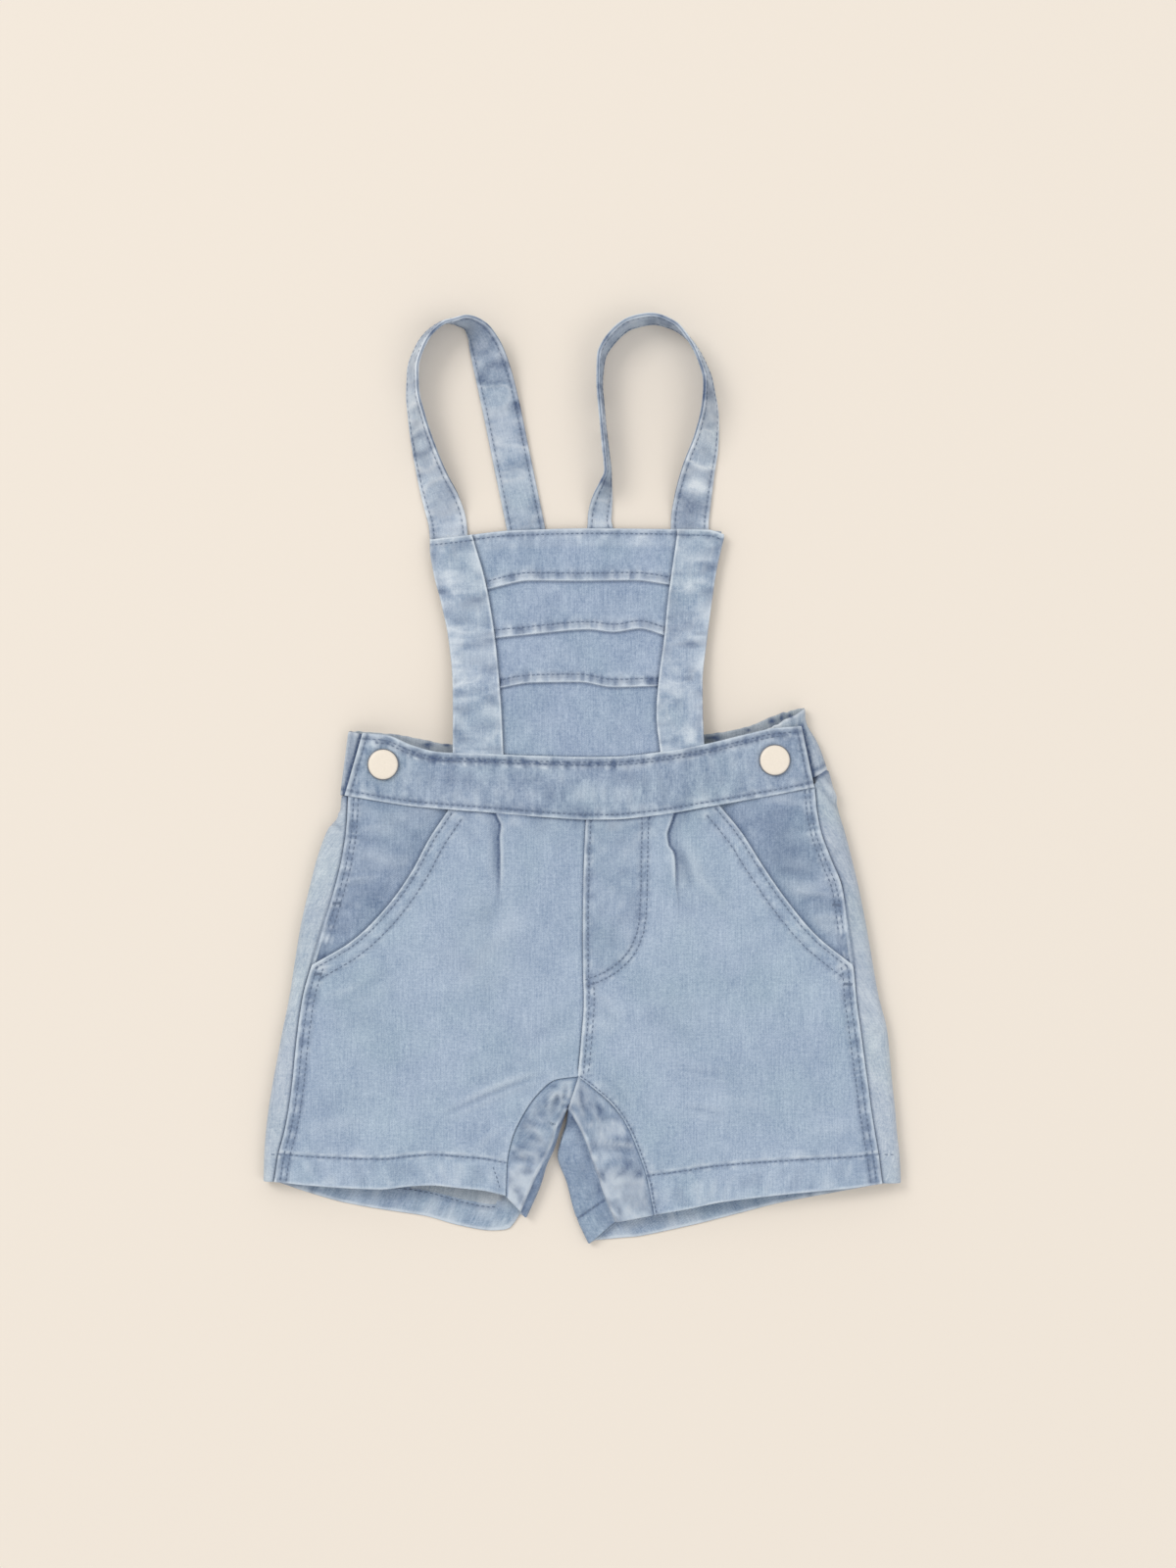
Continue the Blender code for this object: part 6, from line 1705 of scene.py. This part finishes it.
def plain_finish(name, colour, roughness, metallic=0.0, speck=0.02, scale=900.0, coat=0.0):
    """A smooth finish with faint unevenness in its colour and gloss."""
    material = bpy.data.materials.new(name)
    material.use_nodes = True
    tree = material.node_tree
    shader = tree.nodes["Principled BSDF"]
    place = put(tree, "ShaderNodeUVMap", uv_map="weave").outputs[0]
    uneven = noise(tree, place, scale, 4.0, 0.6)
    low = linear(*(c * (1 - speck * 3) for c in colour))
    high = linear(*(min(c * (1 + speck), 255) for c in colour))
    tree.links.new(blend_of(tree, uneven, low, high), shader.inputs["Base Color"])
    tree.links.new(ramp_to(tree, uneven, roughness - 0.08, roughness + 0.08), shader.inputs["Roughness"])
    shader.inputs["Metallic"].default_value = metallic
    shader.inputs["Coat Weight"].default_value = coat
    bumps = put(tree, "ShaderNodeBump", (("Strength", 0.15), ("Distance", 0.0001), ("Height", uneven)))
    tree.links.new(bumps.outputs[0], shader.inputs["Normal"])
    return material


def ramp_to(tree, value, low, high):
    return put(tree, "ShaderNodeMapRange", (("Value", value), ("To Min", low), ("To Max", high))).outputs[0]


def thread_finish(name, colour):
    material = bpy.data.materials.new(name)
    material.use_nodes = True
    tree = material.node_tree
    shader = tree.nodes["Principled BSDF"]
    place = put(tree, "ShaderNodeNewGeometry").outputs["Position"]
    uneven = noise(tree, place, 350.0, 3.0, 0.6)
    tree.links.new(blend_of(tree, uneven, linear(*(c * 0.82 for c in colour)),
                            linear(*(min(c * 1.12, 255) for c in colour))), shader.inputs["Base Color"])
    shader.inputs["Roughness"].default_value = 0.75
    return material


# ---------------------------------------------------------------- materials
groups = {"weave": weave_group(), "wash": wash_group(), "rub_and_shade": rub_and_shade_group()}
front_denim = denim("light washed denim", (122, 143, 172), (188, 203, 221), (212, 222, 232), groups)
waist_denim = denim("waistband denim", (110, 130, 160), (178, 193, 212), (208, 219, 230), groups,
                    45.0, mottle=2.4)
bib_denim = denim("bib denim", (116, 137, 168), (182, 197, 217), (210, 220, 231), groups, 40.0,
                  mottle=1.7)
pocket_denim = denim("pocket denim", (100, 121, 152), (166, 182, 204), (206, 217, 229), groups, 45.0,
                     mottle=1.8)
edging_denim = denim("faded band denim", (122, 143, 172), (190, 203, 219), (218, 227, 236), groups,
                     60.0, mottle=1.8)
strap_denim = denim("faded strap denim", (134, 154, 182), (205, 217, 231), (226, 233, 240), groups,
                    60.0, mottle=2.2)
inner_leg_denim = denim("inner leg denim", (112, 134, 166), (184, 200, 219), (212, 222, 232),
                        groups, 45.0, mottle=2.0)
side_denim = denim("faded side denim", (142, 159, 182), (206, 215, 225), (222, 229, 236), groups,
                   mottle=2.0)
reverse_denim = denim("denim reverse", (132, 145, 162), (192, 201, 210), (218, 224, 230), groups,
                      mottle=1.6, slub=1.8)
sewing = thread_finish("grey blue thread", (112, 128, 153))
enamel = plain_finish("cream enamel", (240, 230, 216), 0.38, speck=0.015, coat=0.15)
snap_metal = plain_finish("snap ring metal", (134, 137, 144), 0.4, metallic=0.9)

# ---------------------------------------------------------------- pieces
made, cloths, lines = {}, {}, {}
for side in ("left", "right"):
    made[f"{side}_back"], cloths[f"{side}_back"], lines[f"{side}_back_hem"] = make_back(
        side, side_denim, reverse_denim, inner_leg_denim)
    made[f"{side}_front"], cloths[f"{side}_front"], lines[side] = make_front(
        side, front_denim, reverse_denim)
    made[f"{side}_pocket_facing"], cloths[f"{side}_facing"], lines[f"{side}_facing"] = make_facing(
        side, pocket_denim, reverse_denim)
    made[f"{side}_bib_edging"], cloths[f"{side}_edging"], lines[f"{side}_edging"] = make_bib_band(
        side, edging_denim, reverse_denim)
    made[f"{side}_shoulder_strap"], lines[f"{side}_strap"] = make_strap(side, strap_denim)
    made[f"{side}_button_cap"] = make_button(side, enamel, snap_metal)
made["front_waist"], cloths["waist"], lines["waist"] = make_front_waistband(waist_denim, reverse_denim)
made["back_waist"], cloths["back_waist"] = make_back_waistband(side_denim, reverse_denim)
made["bib_panel"], cloths["bib"], lines["bib"] = make_bib(bib_denim, reverse_denim)

# ---------------------------------------------------------------- sewing
BARTACKS = {"left": ((-124.8, -62.4), (-134.4, -98.4)), "right": ((129.0, -63.4), (135.0, -103.6))}
leg_thread, bib_thread, strap_thread = Thread(), Thread(), Thread()
for side in ("left", "right"):
    sign = -1 if side == "left" else 1
    front_cloth, facing, back = (cloths[f"{side}_{part}"] for part in ("front", "facing", "back"))
    outline = lines[side]
    for gap in (2.4, 8.2):
        leg_thread.sew(beside(outline["pocket"], -sign * gap), [front_cloth], seed=gap)
    for gap in (2.6, 5.6):
        leg_thread.sew(beside(outline["side"], -sign * gap), [front_cloth], seed=gap)
    for gap in (2.5, 4.9):
        leg_thread.sew(beside(lines[f"{side}_facing"], -sign * gap)[:-6], [facing], seed=gap)
    leg_thread.sew(outline["hem_stitch"], [front_cloth])
    seam_y = SIDES[side].read("y", 13.0)
    fold_x = float(SIDES[side].read("fold", 13.0))
    seam_x = float(SIDES[side].read("seam", 13.0))
    leg_thread.sew(np.array([(fold_x - sign * 0.6, seam_y - 0.3), (seam_x + sign * 0.6, seam_y)]), [back])
    leg_thread.sew(lines[f"{side}_back_hem"][5:], [back], highest=2.0)
    for place, cloth in zip(BARTACKS[side], (facing, front_cloth)):
        leg_thread.bar(place, (1, -0.1 * sign), [cloth], 4.4, 2.2)
leg_thread.sew(beside(lines["right"]["centre"], 2.4), [cloths["right_front"]])
low_centre = lines["right"]["centre"][lines["right"]["centre"][:, 1] < -101]
leg_thread.sew(beside(low_centre, 5.0), [cloths["right_front"]])
for gap in (0.0, 3.2):
    leg_thread.sew(fly_line(gap), [cloths["right_front"]], pitch=2.4)
leg_thread.sew(beside(lines["right"]["inseam"], 0.9), [cloths["right_front"]], pitch=2.3)
leg_thread.sew(np.array([(-1.4, -222.6), (9.0, -215.6)]), [cloths["right_back"]], pitch=2.3)
leg_thread.sew(np.array([(35.0, -205.0), (35.6, -218.0)]), [cloths["right_front"]], pitch=2.2)
leg_thread.sew(np.array([(-45.5, -197.0), (-42.0, -208.5)]), [cloths["left_front"]], pitch=2.2)
for line in lines["waist"].values():
    leg_thread.sew(line, [cloths["waist"]])
for name, line in lines["bib"].items():
    if "stitch" in name:
        share = line[(line[:, 0] > -60) & (line[:, 0] < 50)] if "tuck" in name else line
        bib_thread.sew(share[1:-1], [cloths["bib"]], pitch=2.5)
for side in ("left", "right"):
    for name in ("outer_stitch", "top_stitch"):
        bib_thread.sew(lines[f"{side}_edging"][name][1:-1], [cloths[f"{side}_edging"]], pitch=2.5)
    sew_strap(strap_thread, lines[f"{side}_strap"])
made["leg_stitching"] = leg_thread.finish("leg_stitching", sewing)
made["bib_stitching"] = bib_thread.finish("bib_stitching", sewing)
made["strap_stitching"] = strap_thread.finish("strap_stitching", sewing)

# ---------------------------------------------------------------- what each piece stands for
# piece, node, slot, flat width, flat length, share of that rectangle, how it is held, rests on
CUTS = (
    ("left_front", "front_left", "denim", 0.135, 0.200, 0.86, "laid", "left_back"),
    ("right_front", "front_right", "denim", 0.135, 0.205, 0.86, "laid", "right_back"),
    ("left_pocket_facing", "pocket_facing_left", "denim", 0.062, 0.085, 0.6, "laid", "left_back"),
    ("right_pocket_facing", "pocket_facing_right", "denim", 0.062, 0.085, 0.6, "laid", "right_back"),
    ("left_back", "back_left", "pale_denim", 0.200, 0.215, 0.86, "folded", "left_front"),
    ("right_back", "back_right", "pale_denim", 0.205, 0.220, 0.86, "folded", "right_front"),
    ("front_waist", "waistband_front", "denim", 0.235, 0.033, 1.0, "laid", "left_front"),
    ("back_waist", "waistband_back", "pale_denim", 0.330, 0.034, 1.0, "gathered", "front_waist"),
    ("bib_panel", "bib", "denim", 0.138, 0.125, 0.92, "laid", "front_waist"),
    ("left_bib_edging", "bib_band_left", "pale_denim", 0.023, 0.112, 1.0, "laid", "bib_panel"),
    ("right_bib_edging", "bib_band_right", "pale_denim", 0.023, 0.112, 1.0, "laid", "bib_panel"),
    ("left_shoulder_strap", "strap_left", "pale_denim", 0.0195, 0.345, 1.0, "folded", "bib_panel"),
    ("right_shoulder_strap", "strap_right", "pale_denim", 0.0195, 0.345, 1.0, "folded", "bib_panel"),
)
for name, node, slot, width, length, share, held, support in CUTS:
    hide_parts(node)
for side in ("left", "right"):
    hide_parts(f"button_{side}")

# ---------------------------------------------------------------- floor, light and camera
def light(name, place, aim, size, power, colour):
    lamp = bpy.data.lights.new(name, "AREA")
    lamp.shape, lamp.size, lamp.energy, lamp.color = "SQUARE", size, power, colour
    made_light = bpy.data.objects.new(name, lamp)
    made_light.location = place
    direction = np.array(aim, float) - np.array(place, float)
    yaw, pitch = math.atan2(direction[0], -direction[1]), math.acos(-direction[2] / np.linalg.norm(direction))
    made_light.rotation_euler = (pitch, 0, math.pi + yaw)
    bpy.context.scene.collection.objects.link(made_light)


paper = bpy.data.materials.new("cream paper")
paper.use_nodes = True
paper.node_tree.nodes["Principled BSDF"].inputs["Base Color"].default_value = linear(236, 227, 216)
paper.node_tree.nodes["Principled BSDF"].inputs["Roughness"].default_value = 0.95
paper.node_tree.nodes["Principled BSDF"].inputs["Specular IOR Level"].default_value = 0.1
floor_mesh = bpy.data.meshes.new("floor")
floor_mesh.from_pydata([(-4, -4, 0), (4, -4, 0), (4, 4, 0), (-4, 4, 0)], [], [(0, 1, 2, 3)])
floor_mesh.materials.append(paper)
floor = bpy.data.objects.new("floor", floor_mesh)
floor.location.z = -0.0002
bpy.context.scene.collection.objects.link(floor)

sky = bpy.data.worlds.new("studio")
sky.use_nodes = True
sky.node_tree.nodes["Background"].inputs["Color"].default_value = (1.0, 0.985, 0.96, 1)
sky.node_tree.nodes["Background"].inputs["Strength"].default_value = 0.74
bpy.context.scene.world = sky
light("key", (-3.2, 2.6, 4.6), (0, 0, 0), 2.6, 118.0, (1.0, 0.985, 0.96))
light("fill", (3.2, -1.6, 5.0), (0, 0, 0), 3.5, 50.0, (0.97, 0.985, 1.0))
bpy.context.scene.view_settings.view_transform = "Standard"

lens = bpy.data.cameras.new("camera")
lens.lens = 85.0
lens.sensor_width = 36.0
lens.clip_start, lens.clip_end = 0.05, 20.0
camera = bpy.data.objects.new("camera", lens)
camera.location = (0.0025, -0.0025, 1.889)
bpy.context.scene.collection.objects.link(camera)
bpy.context.scene.camera = camera
